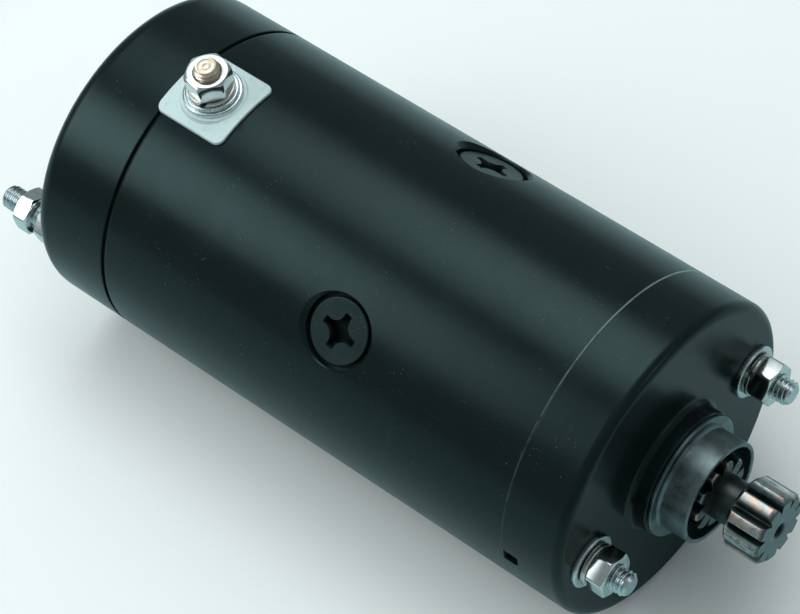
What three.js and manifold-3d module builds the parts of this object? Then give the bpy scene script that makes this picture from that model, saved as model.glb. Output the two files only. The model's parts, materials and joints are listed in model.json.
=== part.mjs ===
// A direct-drive starter motor: four field poles, a pinion cut on the armature shaft, and a
// needle bearing in a steel pilot sleeve. Millimetres. +X runs along the shaft towards the
// pinion, +Z points out through the terminal stud. The origin is on the shaft's axis, midway
// along the casing, from the rear face to the front of the drive end's boss. Lengths along X
// are stated from the drive end head's flat face, and place() shifts them to the origin.

import * as THREE from 'three';
import { mergeVertices } from 'three/addons/utils/BufferGeometryUtils.js';
import Module from 'manifold-3d';

const wasm = await Module();
wasm.setup();

// ---------------------------------------------------------------- driving dimensions

const BODY_R = 44.45;                 // outside radius of the frame and both end heads
const FRAME_WALL = 6.5;
const FRONT_SEAM_X = -17.5;           // where the drive end head meets the frame
const REAR_SEAM_X = -150.9;           // where the commutator end head meets the frame
const REAR_FACE_X = -176.7;
const BOSS_HEIGHT = 5.5;
const DRIVE_WALL = 6.5;               // the drive end head's flat wall
const REAR_WALL = 6.0;
const STUD_R = 3.4;                   // every threaded stud
const NUT_FLATS = 11.0;               // every hexagon nut
const FRONT_NUT_HEIGHT = 5.3;
const REAR_NUT_HEIGHT = 4.8;
const TERMINAL_NUT_HEIGHT = 5.8;
const PILOT_R = 14.2;                 // outside of the pilot sleeve
const PILOT_END_X = 15.0;
const BEARING_R = 13.0;
const BEARING_WIDTH = 12.0;
const BEARING_DEPTH = 5.5;            // how far the bearing sits inside the sleeve's end
const SHAFT_R = 7.2;
const NECK_R = 6.0;                   // shaft between the two sets of teeth
const JOURNAL_R = 5.0;                // shaft in the rear bushing
const INNER_TEETH_START_X = 9.0;      // the teeth run on behind the neck, into the sleeve
const INNER_TEETH_END_X = 15.4;
const PINION_START_X = 22.2;
const PINION_END_X = 33.0;
const PINION_TEETH = 10;
const PINION_TIP_R = 9.9;
const PINION_ROOT_R = 6.5;
const CORE_R = 25.0;
const CORE_LENGTH = 70.0;
const AIR_GAP = 0.5;
const POLE_SCREW_X = -77.1;           // also the middle of the poles and of the core
const COMMUTATOR_R = 17.0;
const TERMINAL_X = -142.0;
const THROUGH_STUD_Y = 33.1;
const REAR_STUD_Y = 35.8;

// ---------------------------------------------------------------- worked out from them

const ORIGIN_SHIFT = -(REAR_FACE_X + BOSS_HEIGHT) / 2;
const BORE_R = BODY_R - FRAME_WALL;
const SPIGOT_R = BORE_R - 0.1;
const SPIGOT_BORE_R = BORE_R - 2;
const SPIGOT_LENGTH = 2;
const CORE_START_X = POLE_SCREW_X - CORE_LENGTH / 2;
const CORE_END_X = POLE_SCREW_X + CORE_LENGTH / 2;
const POLE_FACE_R = CORE_R + AIR_GAP;
const PRESS_GAP = 0.02;               // between pieces pressed together
const RUNNING_GAP = 0.09;             // between a shaft and what it turns in
const REST_GAP = 0.05;                // between faces that are clamped together
const FRONT_JOURNAL_R = PINION_TIP_R;  // so the pinion passes through the bearing
const BEARING_FRONT_X = PILOT_END_X - BEARING_DEPTH;
const BEARING_BACK_X = BEARING_FRONT_X - BEARING_WIDTH;
const BEARING_MID_X = BEARING_FRONT_X - BEARING_WIDTH / 2;

// Facets round a full turn. Body, hub and stud counts divide one another, so that a round piece
// lies flush in the round hole it fills.
const BODY_SEGMENTS = 48;
const HUB_SEGMENTS = 24;
const STUD_SEGMENTS = 12;
const SLOT_SEGMENTS = 40;             // two facets to each commutator bar
const SCREW_SEGMENTS = 16;

// ---------------------------------------------------------------- geometry helpers

function weld(geometry) {
  const bare = geometry.index ? geometry.toNonIndexed() : geometry.clone();
  bare.deleteAttribute('normal');
  bare.deleteAttribute('uv');
  const merged = mergeVertices(bare, 1e-4);
  const index = merged.index.array;
  const kept = [];
  for (let i = 0; i < index.length; i += 3) {
    const [a, b, c] = [index[i], index[i + 1], index[i + 2]];
    if (a !== b && b !== c && c !== a) kept.push(a, b, c);
  }
  merged.setIndex(kept);
  return merged;
}

function signedVolume(geometry) {
  const position = geometry.attributes.position;
  const index = geometry.index.array;
  const [a, b, c] = [new THREE.Vector3(), new THREE.Vector3(), new THREE.Vector3()];
  let sum = 0;
  for (let i = 0; i < index.length; i += 3) {
    a.fromBufferAttribute(position, index[i]);
    b.fromBufferAttribute(position, index[i + 1]);
    c.fromBufferAttribute(position, index[i + 2]);
    sum += a.dot(b.cross(c));
  }
  return sum;
}

// A welded copy whose faces all point outwards.
function solid(geometry) {
  const welded = weld(geometry);
  if (signedVolume(welded) < 0) {
    const index = welded.index.array;
    for (let i = 0; i < index.length; i += 3) {
      [index[i], index[i + 1]] = [index[i + 1], index[i]];
    }
  }
  return welded;
}

function toManifold(geometry) {
  const body = solid(geometry);
  return new wasm.Manifold(new wasm.Mesh({
    numProp: 3,
    vertProperties: new Float32Array(body.attributes.position.array),
    triVerts: new Uint32Array(body.index.array),
  }));
}

function fromManifold(manifold) {
  const mesh = manifold.getMesh();
  const geometry = new THREE.BufferGeometry();
  geometry.setAttribute('position', new THREE.BufferAttribute(new Float32Array(mesh.vertProperties), 3));
  geometry.setIndex(Array.from(mesh.triVerts));
  return geometry;
}

function cut(geometry, ...tools) {
  return fromManifold(tools.reduce((body, tool) => body.subtract(toManifold(tool)), toManifold(geometry)));
}

function join(geometry, ...others) {
  return fromManifold(others.reduce((body, other) => body.add(toManifold(other)), toManifold(geometry)));
}

function common(geometry, other) {
  return fromManifold(toManifold(geometry).intersect(toManifold(other)));
}

// A body of revolution about the X axis, from [x, radius] points. A profile that doesn't
// start and end on the axis is closed into a ring.
function turned(profile, segments) {
  const points = profile.map(([x, r]) => new THREE.Vector2(r, x));
  const closesOnAxis = profile[0][1] === 0 && profile.at(-1)[1] === 0;
  if (!closesOnAxis) points.push(points[0].clone());
  return new THREE.LatheGeometry(points, segments).rotateZ(-Math.PI / 2);
}

function tube(startX, endX, innerR, outerR, segments) {
  return turned([[startX, innerR], [startX, outerR], [endX, outerR], [endX, innerR]], segments);
}

function rod(startX, endX, radius, segments) {
  return turned([[startX, 0], [startX, radius], [endX, radius], [endX, 0]], segments);
}

// A cylinder that runs along X, centred on (y, z).
function rodAt(startX, endX, radius, y, z, segments) {
  return rod(startX, endX, radius, segments).translate(0, y, z);
}

function onCircle(radius, degrees) {
  const angle = THREE.MathUtils.degToRad(degrees);
  return [radius * Math.cos(angle), radius * Math.sin(angle)];
}

function arcPoints(radius, fromDegrees, toDegrees, steps) {
  return Array.from({ length: steps + 1 }, (_, i) =>
    onCircle(radius, fromDegrees + (toDegrees - fromDegrees) * i / steps));
}

// A round of a turned profile, centred at [x, radius].
function arc(centreX, centreR, radius, fromDegrees, toDegrees, steps) {
  return arcPoints(radius, fromDegrees, toDegrees, steps).map(([u, v]) => [centreX + u, centreR + v]);
}

function shapeOf(points) {
  return new THREE.Shape(points.map(([u, v]) => new THREE.Vector2(u, v)));
}

// A prism along X. The outline is given as [y, z] points.
function prismX(points, startX, endX) {
  const options = { depth: endX - startX, bevelEnabled: false };
  return new THREE.ExtrudeGeometry(shapeOf(points), options)
    .applyMatrix4(new THREE.Matrix4().makeBasis(
      new THREE.Vector3(0, 1, 0), new THREE.Vector3(0, 0, 1), new THREE.Vector3(1, 0, 0)))
    .translate(startX, 0, 0);
}

function box(x0, x1, y0, y1, z0, z1) {
  return new THREE.BoxGeometry(x1 - x0, y1 - y0, z1 - z0)
    .translate((x0 + x1) / 2, (y0 + y1) / 2, (z0 + z1) / 2);
}

// A rounded rectangle as a three.js shape.
function roundedRectangle(width, height, radius) {
  const [w, h] = [width / 2, height / 2];
  const shape = new THREE.Shape();
  shape.moveTo(-w + radius, -h);
  shape.lineTo(w - radius, -h);
  shape.absarc(w - radius, -h + radius, radius, -Math.PI / 2, 0);
  shape.lineTo(w, h - radius);
  shape.absarc(w - radius, h - radius, radius, 0, Math.PI / 2);
  shape.lineTo(-w + radius, h);
  shape.absarc(-w + radius, h - radius, radius, Math.PI / 2, Math.PI);
  shape.lineTo(-w, -h + radius);
  shape.absarc(-w + radius, -h + radius, radius, Math.PI, Math.PI * 1.5);
  return shape;
}

// ---------------------------------------------------------------- materials

const FINISHES = {
  black_paint: { color: 0x262c2d, roughness: 0.35, metalness: 0.2 },
  black_screw: { color: 0x33393a, roughness: 0.5, metalness: 0.6 },
  burnished_steel: { color: 0x5d6668, roughness: 0.4, metalness: 0.9 },
  pinion_steel: { color: 0x757c7e, roughness: 0.38, metalness: 0.9 },
  bearing_steel: { color: 0x9aa1a3, roughness: 0.2, metalness: 1.0 },
  bearing_cage: { color: 0x8c9092, roughness: 0.35, metalness: 0.9 },
  zinc: { color: 0xc9d6d2, roughness: 0.3, metalness: 1.0 },
  yellow_zinc: { color: 0xc6a98c, roughness: 0.3, metalness: 1.0 },
  bright_nut: { color: 0xdcdfe0, roughness: 0.15, metalness: 1.0 },
  copper_stud: { color: 0xd8bda4, roughness: 0.3, metalness: 1.0 },
  copper: { color: 0xb87348, roughness: 0.4, metalness: 1.0 },
  magnet_steel: { color: 0x5a5d60, roughness: 0.5, metalness: 0.9 },
  core_steel: { color: 0x6d7072, roughness: 0.45, metalness: 0.9 },
  coil_wrap: { color: 0x8a5a34, roughness: 0.8, metalness: 0.0 },
  insulator_white: { color: 0xdfe4e2, roughness: 0.55, metalness: 0.0 },
  rubber: { color: 0x1b1b1b, roughness: 0.8, metalness: 0.0 },
  bronze: { color: 0xa87f45, roughness: 0.45, metalness: 1.0 },
  carbon: { color: 0x3a3634, roughness: 0.7, metalness: 0.2 },
  spring_steel: { color: 0xa3a7a8, roughness: 0.3, metalness: 1.0 },
  plate_steel: { color: 0xa9adab, roughness: 0.4, metalness: 0.9 },
};

const motor = new THREE.Group();

function place(name, finish, geometry, turnDegrees = 0) {
  const mesh = new THREE.Mesh(solid(geometry), new THREE.MeshStandardMaterial(FINISHES[finish]));
  mesh.name = name;
  mesh.rotation.x = THREE.MathUtils.degToRad(turnDegrees);
  mesh.position.x = ORIGIN_SHIFT;
  motor.add(mesh);
}

// ---------------------------------------------------------------- threaded fasteners

// A hexagon nut on the X axis with 30 degree chamfers and a clearance bore.
function hexNut(startX, height, turnDegrees) {
  const cornerR = NUT_FLATS / 2 / Math.cos(Math.PI / 6);
  const corners = Array.from({ length: 6 }, (_, i) => onCircle(cornerR, 60 * i));
  const flatR = NUT_FLATS / 2 * 0.96;
  const coneDepth = (cornerR - flatR) * Math.tan(Math.PI / 6);
  const envelope = turned([
    [startX, 0],
    [startX, flatR],
    [startX + coneDepth, cornerR],
    [startX + height - coneDepth, cornerR],
    [startX + height, flatR],
    [startX + height, 0],
  ], STUD_SEGMENTS);
  const blank = common(prismX(corners, startX, startX + height), envelope)
    .rotateX(THREE.MathUtils.degToRad(turnDegrees));
  return cut(blank, rod(startX - 1, startX + height + 1, STUD_R + REST_GAP, STUD_SEGMENTS));
}

// A spring lock washer: a flat ring with one slanted split.
function lockWasher(startX, outerR, thickness, turnDegrees) {
  const ring = tube(startX, startX + thickness, STUD_R + REST_GAP, outerR, HUB_SEGMENTS);
  const splitWidth = 0.7;
  const split = new THREE.BoxGeometry(thickness * 3, splitWidth, outerR * 1.5)
    .rotateZ(Math.PI / 7)
    .translate(startX + thickness / 2, 0, outerR * 0.75)
    .rotateX(THREE.MathUtils.degToRad(turnDegrees));
  return cut(ring, split);
}

function flatWasher(startX, outerR, thickness) {
  return tube(startX, startX + thickness, STUD_R + REST_GAP, outerR, HUB_SEGMENTS);
}

// A plain stud along X with a chamfer at each end.
function stud(startX, endX) {
  const chamfer = 0.8;
  return turned([
    [startX, 0],
    [startX, STUD_R - chamfer],
    [startX + chamfer, STUD_R],
    [endX - chamfer, STUD_R],
    [endX, STUD_R - chamfer],
    [endX, 0],
  ], STUD_SEGMENTS);
}

// ---------------------------------------------------------------- casings

const POLE_ANGLES = [45, 135, 225, 315];
const SCREW_HEAD_R = 8.6;
const SCREW_HEAD_SUNK = 1.7;          // how far the flat head sits below the surface
const SCREW_HEAD_RIM = 0.6;           // height of the head's straight edge
const SCREW_SHANK_R = 4.6;
const SCREW_HEAD_TOP_R = BODY_R - SCREW_HEAD_SUNK;

// A body of revolution about the radial line at the pole screws' place, standing along +Z.
function radial(profile, segments, x) {
  const points = profile.map(([radius, height]) => new THREE.Vector2(radius, height));
  return new THREE.LatheGeometry(points, segments).rotateX(Math.PI / 2).translate(x, 0, 0);
}

// Turns a solid built around the +Z direction to the stated angle, measured from +Y.
function swing(geometry, degrees) {
  return geometry.clone().rotateX(THREE.MathUtils.degToRad(degrees - 90));
}

function screwSeat() {
  const top = BODY_R + 3;
  const headR = SCREW_HEAD_R + 0.15;
  const pocketR = SCREW_HEAD_R + 0.6;
  const shankR = SCREW_SHANK_R + 0.2;
  const coneTop = SCREW_HEAD_TOP_R - SCREW_HEAD_RIM;
  return radial([
    [0, BORE_R - 3],
    [shankR, BORE_R - 3],
    [shankR, coneTop - (headR - shankR)],
    [headR, coneTop],
    [pocketR, coneTop],
    [pocketR, SCREW_HEAD_TOP_R],
    [pocketR + top - SCREW_HEAD_TOP_R, top],
    [0, top],
  ], SCREW_SEGMENTS, POLE_SCREW_X);
}

const TERMINAL_HOLE_R = 5.6;

function fieldFrame() {
  const edge = 0.4;
  const shell = turned([
    [REAR_SEAM_X, BORE_R],
    [REAR_SEAM_X, BODY_R],
    [FRONT_SEAM_X - edge, BODY_R],
    [FRONT_SEAM_X - REST_GAP, BODY_R - edge],
    [FRONT_SEAM_X - REST_GAP, BORE_R],
  ], BODY_SEGMENTS);
  const seats = POLE_ANGLES.map((angle) => swing(screwSeat(), angle));
  const terminalHole = radial([[0, 0], [TERMINAL_HOLE_R, 0], [TERMINAL_HOLE_R, 60], [0, 60]],
    STUD_SEGMENTS, TERMINAL_X);
  return cut(shell, ...seats, terminalHole);
}

const BOSS_R = 17.3;
const THROUGH_HOLE_R = STUD_R + 0.4;

function drivePlate() {
  const edgeRound = 2.4;
  const bossRound = 1.6;
  const hubBack = -12;
  const skirtTaper = 4;
  return turned([
    [FRONT_SEAM_X, BORE_R],
    [FRONT_SEAM_X, BODY_R],
    ...arc(-edgeRound, BODY_R - edgeRound, edgeRound, 90, 0, 3),
    ...arc(bossRound, BOSS_R + bossRound, bossRound, 180, 270, 2),
    [BOSS_HEIGHT, BOSS_R],
    [BOSS_HEIGHT, PILOT_R + PRESS_GAP],
    [hubBack, PILOT_R + PRESS_GAP],
    [hubBack, BOSS_R],
    [-DRIVE_WALL, BOSS_R + bossRound],
    [-DRIVE_WALL, BORE_R - skirtTaper],
    [FRONT_SEAM_X - SPIGOT_LENGTH, SPIGOT_BORE_R],
    [FRONT_SEAM_X - SPIGOT_LENGTH, SPIGOT_R],
    [FRONT_SEAM_X, SPIGOT_R],
  ], BODY_SEGMENTS);
}

// The notch lets water out at the seam. It is a slot through the skirt's rear edge.
function seamNotch() {
  const [width, depth, offsetZ] = [3.9, 4.6, 1.1];
  return box(FRONT_SEAM_X - 1, FRONT_SEAM_X + depth, -BODY_R - 1, -SPIGOT_R - 0.3,
    offsetZ - width / 2, offsetZ + width / 2);
}

function driveEndHead() {
  const holes = [1, -1].map((side) =>
    rodAt(-40, 20, THROUGH_HOLE_R, side * THROUGH_STUD_Y, 0, STUD_SEGMENTS));
  return cut(drivePlate(), ...holes, seamNotch());
}

const REAR_WALL_X = REAR_FACE_X + REAR_WALL;
const PLATE_SEAT_X = REAR_SEAM_X - 2.4;
const BUSHING_R = 8.0;
const HUB_END_X = -156.0;
const THROUGH_STUD_START_X = -165.0;
const REAR_STUD_INNER_X = -168.6;

function rearShell() {
  const edgeRound = 4.4;
  const grooveWidth = 0.9;
  const grooveDepth = 1.0;
  const skirtR = SPIGOT_BORE_R - 1.5;
  return turned([
    [REAR_FACE_X, 0],
    ...arc(REAR_FACE_X + edgeRound, BODY_R - edgeRound, edgeRound, 180, 90, 4),
    [REAR_SEAM_X - grooveWidth, BODY_R],
    [REAR_SEAM_X - grooveWidth, BODY_R - grooveDepth],
    [REAR_SEAM_X - REST_GAP, BODY_R - grooveDepth],
    [REAR_SEAM_X - REST_GAP, SPIGOT_R],
    [REAR_SEAM_X + SPIGOT_LENGTH, SPIGOT_R],
    [REAR_SEAM_X + SPIGOT_LENGTH, SPIGOT_BORE_R],
    [PLATE_SEAT_X, SPIGOT_BORE_R],
    [PLATE_SEAT_X, skirtR],
    [REAR_WALL_X, skirtR],
    [REAR_WALL_X, 12.5],
    [HUB_END_X, 11.5],
    [HUB_END_X, BUSHING_R + PRESS_GAP],
    [REAR_WALL_X + 0.6, BUSHING_R + PRESS_GAP],
    [REAR_WALL_X + 0.6, 0],
  ], BODY_SEGMENTS);
}

function commutatorEndHead() {
  const columnR = 6.5;
  const columns = [1, -1].map((side) =>
    rodAt(REAR_WALL_X - 1, PLATE_SEAT_X, columnR, side * (SPIGOT_BORE_R - 4), 0, STUD_SEGMENTS));
  const tapped = [1, -1].flatMap((side) => [
    rodAt(THROUGH_STUD_START_X - 0.5, -140, STUD_R + REST_GAP, side * THROUGH_STUD_Y, 0, STUD_SEGMENTS),
    rodAt(REAR_FACE_X - 1, REAR_STUD_INNER_X + 0.3, STUD_R + REST_GAP, side * REAR_STUD_Y, 0, STUD_SEGMENTS),
  ]);
  return cut(join(rearShell(), ...columns), ...tapped);
}

function pilotSleeve() {
  const flangeR = 17.1;
  const flangeBack = BOSS_HEIGHT + REST_GAP;
  const flangeFront = flangeBack + 1.1;
  const rootR = PILOT_R + 0.45;
  const rim = 0.3;
  const sleeveBack = -10;
  const boreR = BEARING_R + PRESS_GAP;
  return turned([
    [sleeveBack, boreR],
    [sleeveBack, PILOT_R],
    [flangeBack, PILOT_R],
    [flangeBack, flangeR],
    [flangeFront, flangeR],
    [flangeFront, rootR],
    [flangeFront + 0.5, PILOT_R],
    [PILOT_END_X - rim, PILOT_R],
    [PILOT_END_X, PILOT_R - rim],
    [PILOT_END_X, boreR],
  ], BODY_SEGMENTS);
}

// ---------------------------------------------------------------- field poles and coils

const NECK_HALF = 8.5;
const HORN_DEGREES = 31;
const HORN_R = 28.3;
const TAPPING_BOTTOM_R = 31.0;

function poleShoe() {
  const seatR = BORE_R - REST_GAP * 4;
  const neckTop = THREE.MathUtils.radToDeg(Math.asin(NECK_HALF / seatR));
  const neckFoot = THREE.MathUtils.radToDeg(Math.asin(NECK_HALF / HORN_R));
  const outline = [
    ...arcPoints(POLE_FACE_R, 90 - HORN_DEGREES, 90 + HORN_DEGREES, 10),
    onCircle(HORN_R - 1.2, 90 + HORN_DEGREES),
    onCircle(HORN_R, 90 + neckFoot),
    ...arcPoints(seatR, 90 + neckTop, 90 - neckTop, 3),
    onCircle(HORN_R, 90 - neckFoot),
    onCircle(HORN_R - 1.2, 90 - HORN_DEGREES),
  ];
  const tappingR = SCREW_SHANK_R + 0.1;
  const tapping = radial([
    [0, TAPPING_BOTTOM_R],
    [tappingR, TAPPING_BOTTOM_R],
    [tappingR, BODY_R],
    [0, BODY_R],
  ], SCREW_SEGMENTS, POLE_SCREW_X);
  return cut(prismX(outline, CORE_START_X, CORE_END_X), tapping);
}

// One field coil: a rounded rectangular ring that stands around the pole's neck.
function fieldCoil() {
  const [inner, band, bottom, top] = [NECK_HALF + 0.5, 6.3, 29.2, 34.3];
  const endGap = 0.6;
  const outline = roundedRectangle(CORE_LENGTH + 2 * (endGap + band), 2 * (inner + band), 5);
  outline.holes.push(roundedRectangle(CORE_LENGTH + 2 * endGap, 2 * inner, 1.5));
  const options = { depth: top - bottom, bevelEnabled: false, curveSegments: 2 };
  return new THREE.ExtrudeGeometry(outline, options).translate(POLE_SCREW_X, 0, bottom);
}

// The outline of a cross recess: four straight-ended wings joined by hollow curves.
function crossOutline() {
  const [halfWidth, reach, waist] = [1.05, 5.1, 2.8];
  const centre = (waist - halfWidth) / (Math.SQRT2 - 1);
  const quarter = [
    [reach, halfWidth],
    ...arc(centre, centre, centre - halfWidth, -90, -180, 3),
    [halfWidth, reach],
  ];
  return [0, 1, 2, 3].flatMap((k) => {
    const [c, s] = onCircle(1, 90 * k);
    return quarter.map(([u, v]) => [c * u - s * v, s * u + c * v]);
  });
}

// A flat-head screw with a cross recess.
function poleScrew() {
  const tip = TAPPING_BOTTOM_R + 0.6;
  const coneTop = SCREW_HEAD_TOP_R - SCREW_HEAD_RIM;
  const blank = radial([
    [0, tip],
    [SCREW_SHANK_R, tip],
    [SCREW_SHANK_R, coneTop - (SCREW_HEAD_R - SCREW_SHANK_R)],
    [SCREW_HEAD_R, coneTop],
    [SCREW_HEAD_R, SCREW_HEAD_TOP_R],
    [0, SCREW_HEAD_TOP_R],
  ], SCREW_SEGMENTS, POLE_SCREW_X);
  const [recessDepth, recessTurn] = [3.0, -12];
  const recess = new THREE.ExtrudeGeometry(shapeOf(crossOutline()), { depth: 5, bevelEnabled: false })
    .rotateZ(THREE.MathUtils.degToRad(recessTurn))
    .translate(POLE_SCREW_X, 0, SCREW_HEAD_TOP_R - recessDepth);
  return cut(blank, recess);
}

// A copper strap from the terminal stud's head to the end of field coil 1.
function fieldStrap() {
  const [thickness, width, height] = [1.2, 7, 34.4];
  const lug = new THREE.CylinderGeometry(6.4, 6.4, thickness, STUD_SEGMENTS)
    .rotateX(Math.PI / 2).translate(TERMINAL_X, 0, height);
  const hole = new THREE.CylinderGeometry(STUD_R + 0.1, STUD_R + 0.1, 10, STUD_SEGMENTS)
    .rotateX(Math.PI / 2).translate(TERMINAL_X, 0, height);
  const coilEnd = CORE_START_X - 6.9;
  const top = height + thickness / 2;
  const runEnd = coilEnd - 1.4;
  const run = box(TERMINAL_X + 3, runEnd, -width / 2, width / 2, top - thickness, top);
  const drop = box(runEnd - thickness, runEnd, -width / 2, 12, 30, top);
  return cut(join(lug, run, drop), hole);
}

// ---------------------------------------------------------------- armature

// One involute pinion tooth space after another, as a closed [y, z] outline.
function pinionOutline() {
  const flankSteps = 3;
  const baseR = 7.75;
  const tipHalfAngle = 6.6;
  const inv = (r) => Math.sqrt((r / baseR) ** 2 - 1) - Math.atan(Math.sqrt((r / baseR) ** 2 - 1));
  const halfAngle = (r) =>
    tipHalfAngle + THREE.MathUtils.radToDeg(inv(PINION_TIP_R) - inv(Math.max(r, baseR)));
  const pitch = 360 / PINION_TEETH;
  const firstTooth = 26;
  const outline = [];
  for (let tooth = 0; tooth < PINION_TEETH; tooth += 1) {
    const middle = firstTooth + pitch * tooth;
    const radii = Array.from({ length: flankSteps + 1 }, (_, i) =>
      baseR + (PINION_TIP_R - baseR) * i / flankSteps);
    outline.push(onCircle(PINION_ROOT_R, middle - pitch / 2));
    outline.push(onCircle(PINION_ROOT_R + 0.25, middle - halfAngle(baseR) - 1.5));
    radii.forEach((r) => outline.push(onCircle(r, middle - halfAngle(r))));
    radii.reverse().forEach((r) => outline.push(onCircle(r, middle + halfAngle(r))));
    outline.push(onCircle(PINION_ROOT_R + 0.25, middle + halfAngle(baseR) + 1.5));
  }
  return outline;
}

const SHAFT_REAR_X = -168.5;
const SHOULDER_X = -154.8;

// A length of the toothed bar, with its tooth tips turned down to a cone at each end.
function toothed(startX, endX, chamfer) {
  const coneR = PINION_TIP_R - chamfer;
  const envelope = turned([
    [startX, 0],
    [startX, coneR],
    [startX + chamfer, PINION_TIP_R + 0.1],
    [endX - chamfer, PINION_TIP_R + 0.1],
    [endX, coneR],
    [endX, 0],
  ], HUB_SEGMENTS);
  return common(prismX(pinionOutline(), startX, endX), envelope);
}

function armatureShaft() {
  const chamfer = 0.6;
  const journalStart = -11;
  const spindle = turned([
    [SHAFT_REAR_X, 0],
    [SHAFT_REAR_X, JOURNAL_R - chamfer],
    [SHAFT_REAR_X + chamfer, JOURNAL_R],
    [SHOULDER_X, JOURNAL_R],
    [SHOULDER_X, SHAFT_R],
    [journalStart - chamfer, SHAFT_R],
    [journalStart, FRONT_JOURNAL_R],
    [INNER_TEETH_START_X, FRONT_JOURNAL_R],
    [INNER_TEETH_START_X, NECK_R],
    [PINION_START_X + 1, NECK_R],
    [PINION_START_X + 1, 0],
  ], HUB_SEGMENTS);
  const pinion = toothed(PINION_START_X, PINION_END_X, 1.1);
  const innerTeeth = toothed(INNER_TEETH_START_X - 0.5, INNER_TEETH_END_X, 0.5);
  const centreDrill = turned([
    [PINION_END_X - 3, 0],
    [PINION_END_X - 1.6, 1.0],
    [PINION_END_X + 0.1, 2.2],
    [PINION_END_X + 0.1, 0],
  ], STUD_SEGMENTS);
  return cut(join(spindle, pinion, innerTeeth), centreDrill);
}

const CORE_SLOTS = 20;
const SLOT_BOTTOM_R = 14.5;
const SLOT_HALF_WIDTH = 1.7;

function armatureCore() {
  const openingHalf = 0.8;
  const lipR = CORE_R - 1.2;
  const pitch = 360 / CORE_SLOTS;
  const slotPoint = (radius, half, middle) => {
    const along = Math.sqrt(radius ** 2 - half ** 2);
    const angle = THREE.MathUtils.degToRad(middle);
    return [
      along * Math.cos(angle) - half * Math.sin(angle),
      along * Math.sin(angle) + half * Math.cos(angle),
    ];
  };
  const outline = [];
  for (let slot = 0; slot < CORE_SLOTS; slot += 1) {
    const middle = pitch * slot;
    outline.push(slotPoint(CORE_R, -openingHalf, middle));
    outline.push(slotPoint(lipR, -openingHalf, middle));
    outline.push(slotPoint(lipR, -SLOT_HALF_WIDTH, middle));
    outline.push(slotPoint(SLOT_BOTTOM_R, -SLOT_HALF_WIDTH, middle));
    outline.push(slotPoint(SLOT_BOTTOM_R, SLOT_HALF_WIDTH, middle));
    outline.push(slotPoint(lipR, SLOT_HALF_WIDTH, middle));
    outline.push(slotPoint(lipR, openingHalf, middle));
    outline.push(slotPoint(CORE_R, openingHalf, middle));
    outline.push(onCircle(CORE_R, middle + pitch / 2));
  }
  const bore = rod(CORE_START_X - 1, CORE_END_X + 1, SHAFT_R + PRESS_GAP, HUB_SEGMENTS);
  return cut(prismX(outline, CORE_START_X, CORE_END_X), bore);
}

// The winding: one bar in each slot, joined by a crowned bundle of end turns at each side.
function armatureWinding() {
  const clear = 0.2;
  const [innerR, outerR] = [SLOT_BOTTOM_R + clear, CORE_R - 1.5];
  const endTurns = (nearX, farX) => {
    const lean = (farX - nearX) * 0.25;
    return turned([
      [nearX, 9.5],
      [nearX, outerR - 0.6],
      [nearX + lean, outerR],
      [farX - lean, outerR - 2],
      [farX, outerR - 5.5],
      [farX, 11.5],
    ], HUB_SEGMENTS);
  };
  const half = SLOT_HALF_WIDTH - clear;
  const bar = box(CORE_START_X - 1, CORE_END_X + 1, -half, half, innerR, outerR - 0.8);
  const bars = Array.from({ length: CORE_SLOTS }, (_, i) => swing(bar, 360 / CORE_SLOTS * i));
  const rearTurns = endTurns(CORE_START_X - 0.3, CORE_START_X - 15.5);
  const frontTurns = endTurns(CORE_END_X + 0.3, CORE_END_X + 14);
  return join(rearTurns, frontTurns, ...bars);
}

const COMMUTATOR_START_X = -150.5;
const COMMUTATOR_END_X = -128.0;

function commutator() {
  const bars = 20;
  const riserX = COMMUTATOR_END_X - 3.5;
  const drum = turned([
    [COMMUTATOR_START_X, SHAFT_R + PRESS_GAP],
    [COMMUTATOR_START_X, COMMUTATOR_R],
    [riserX, COMMUTATOR_R],
    [riserX, COMMUTATOR_R + 1.8],
    [COMMUTATOR_END_X, COMMUTATOR_R + 1.8],
    [COMMUTATOR_END_X, SHAFT_R + PRESS_GAP],
  ], SLOT_SEGMENTS);
  const gap = box(COMMUTATOR_START_X - 1, COMMUTATOR_END_X + 1, -0.35, 0.35,
    COMMUTATOR_R - 1.2, COMMUTATOR_R + 5);
  const gaps = Array.from({ length: bars }, (_, i) => swing(gap, 360 / bars * (i + 0.5)));
  return cut(drum, ...gaps);
}

// ---------------------------------------------------------------- bearings and seal

const NEEDLE_COUNT = 18;
const NEEDLE_R = 1.0;
const NEEDLE_PITCH_R = FRONT_JOURNAL_R + 0.08 + NEEDLE_R;
const CUP_WALL = 0.9;
const CUP_END = 0.7;                  // thickness of the cup's turned-in ends

function needleBearingCup() {
  const lipR = FRONT_JOURNAL_R + 0.45;
  const raceR = BEARING_R - CUP_WALL;
  return turned([
    [BEARING_BACK_X, lipR],
    [BEARING_BACK_X, BEARING_R],
    [BEARING_FRONT_X, BEARING_R],
    [BEARING_FRONT_X, lipR],
    [BEARING_FRONT_X - CUP_END, lipR],
    [BEARING_FRONT_X - CUP_END, raceR],
    [BEARING_BACK_X + CUP_END, raceR],
    [BEARING_BACK_X + CUP_END, lipR],
  ], BODY_SEGMENTS);
}

function needleSet() {
  const cageHalf = BEARING_WIDTH / 2 - CUP_END - 0.2;
  const needleHalf = cageHalf - 0.4;
  const cage = tube(BEARING_MID_X - cageHalf, BEARING_MID_X + cageHalf,
    NEEDLE_PITCH_R - 0.3, NEEDLE_PITCH_R + 0.3, HUB_SEGMENTS);
  const needles = Array.from({ length: NEEDLE_COUNT }, (_, i) => {
    const [y, z] = onCircle(NEEDLE_PITCH_R, 360 / NEEDLE_COUNT * i);
    return rodAt(BEARING_MID_X - needleHalf, BEARING_MID_X + needleHalf, NEEDLE_R, y, z, 8);
  });
  return join(cage, ...needles);
}

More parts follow.
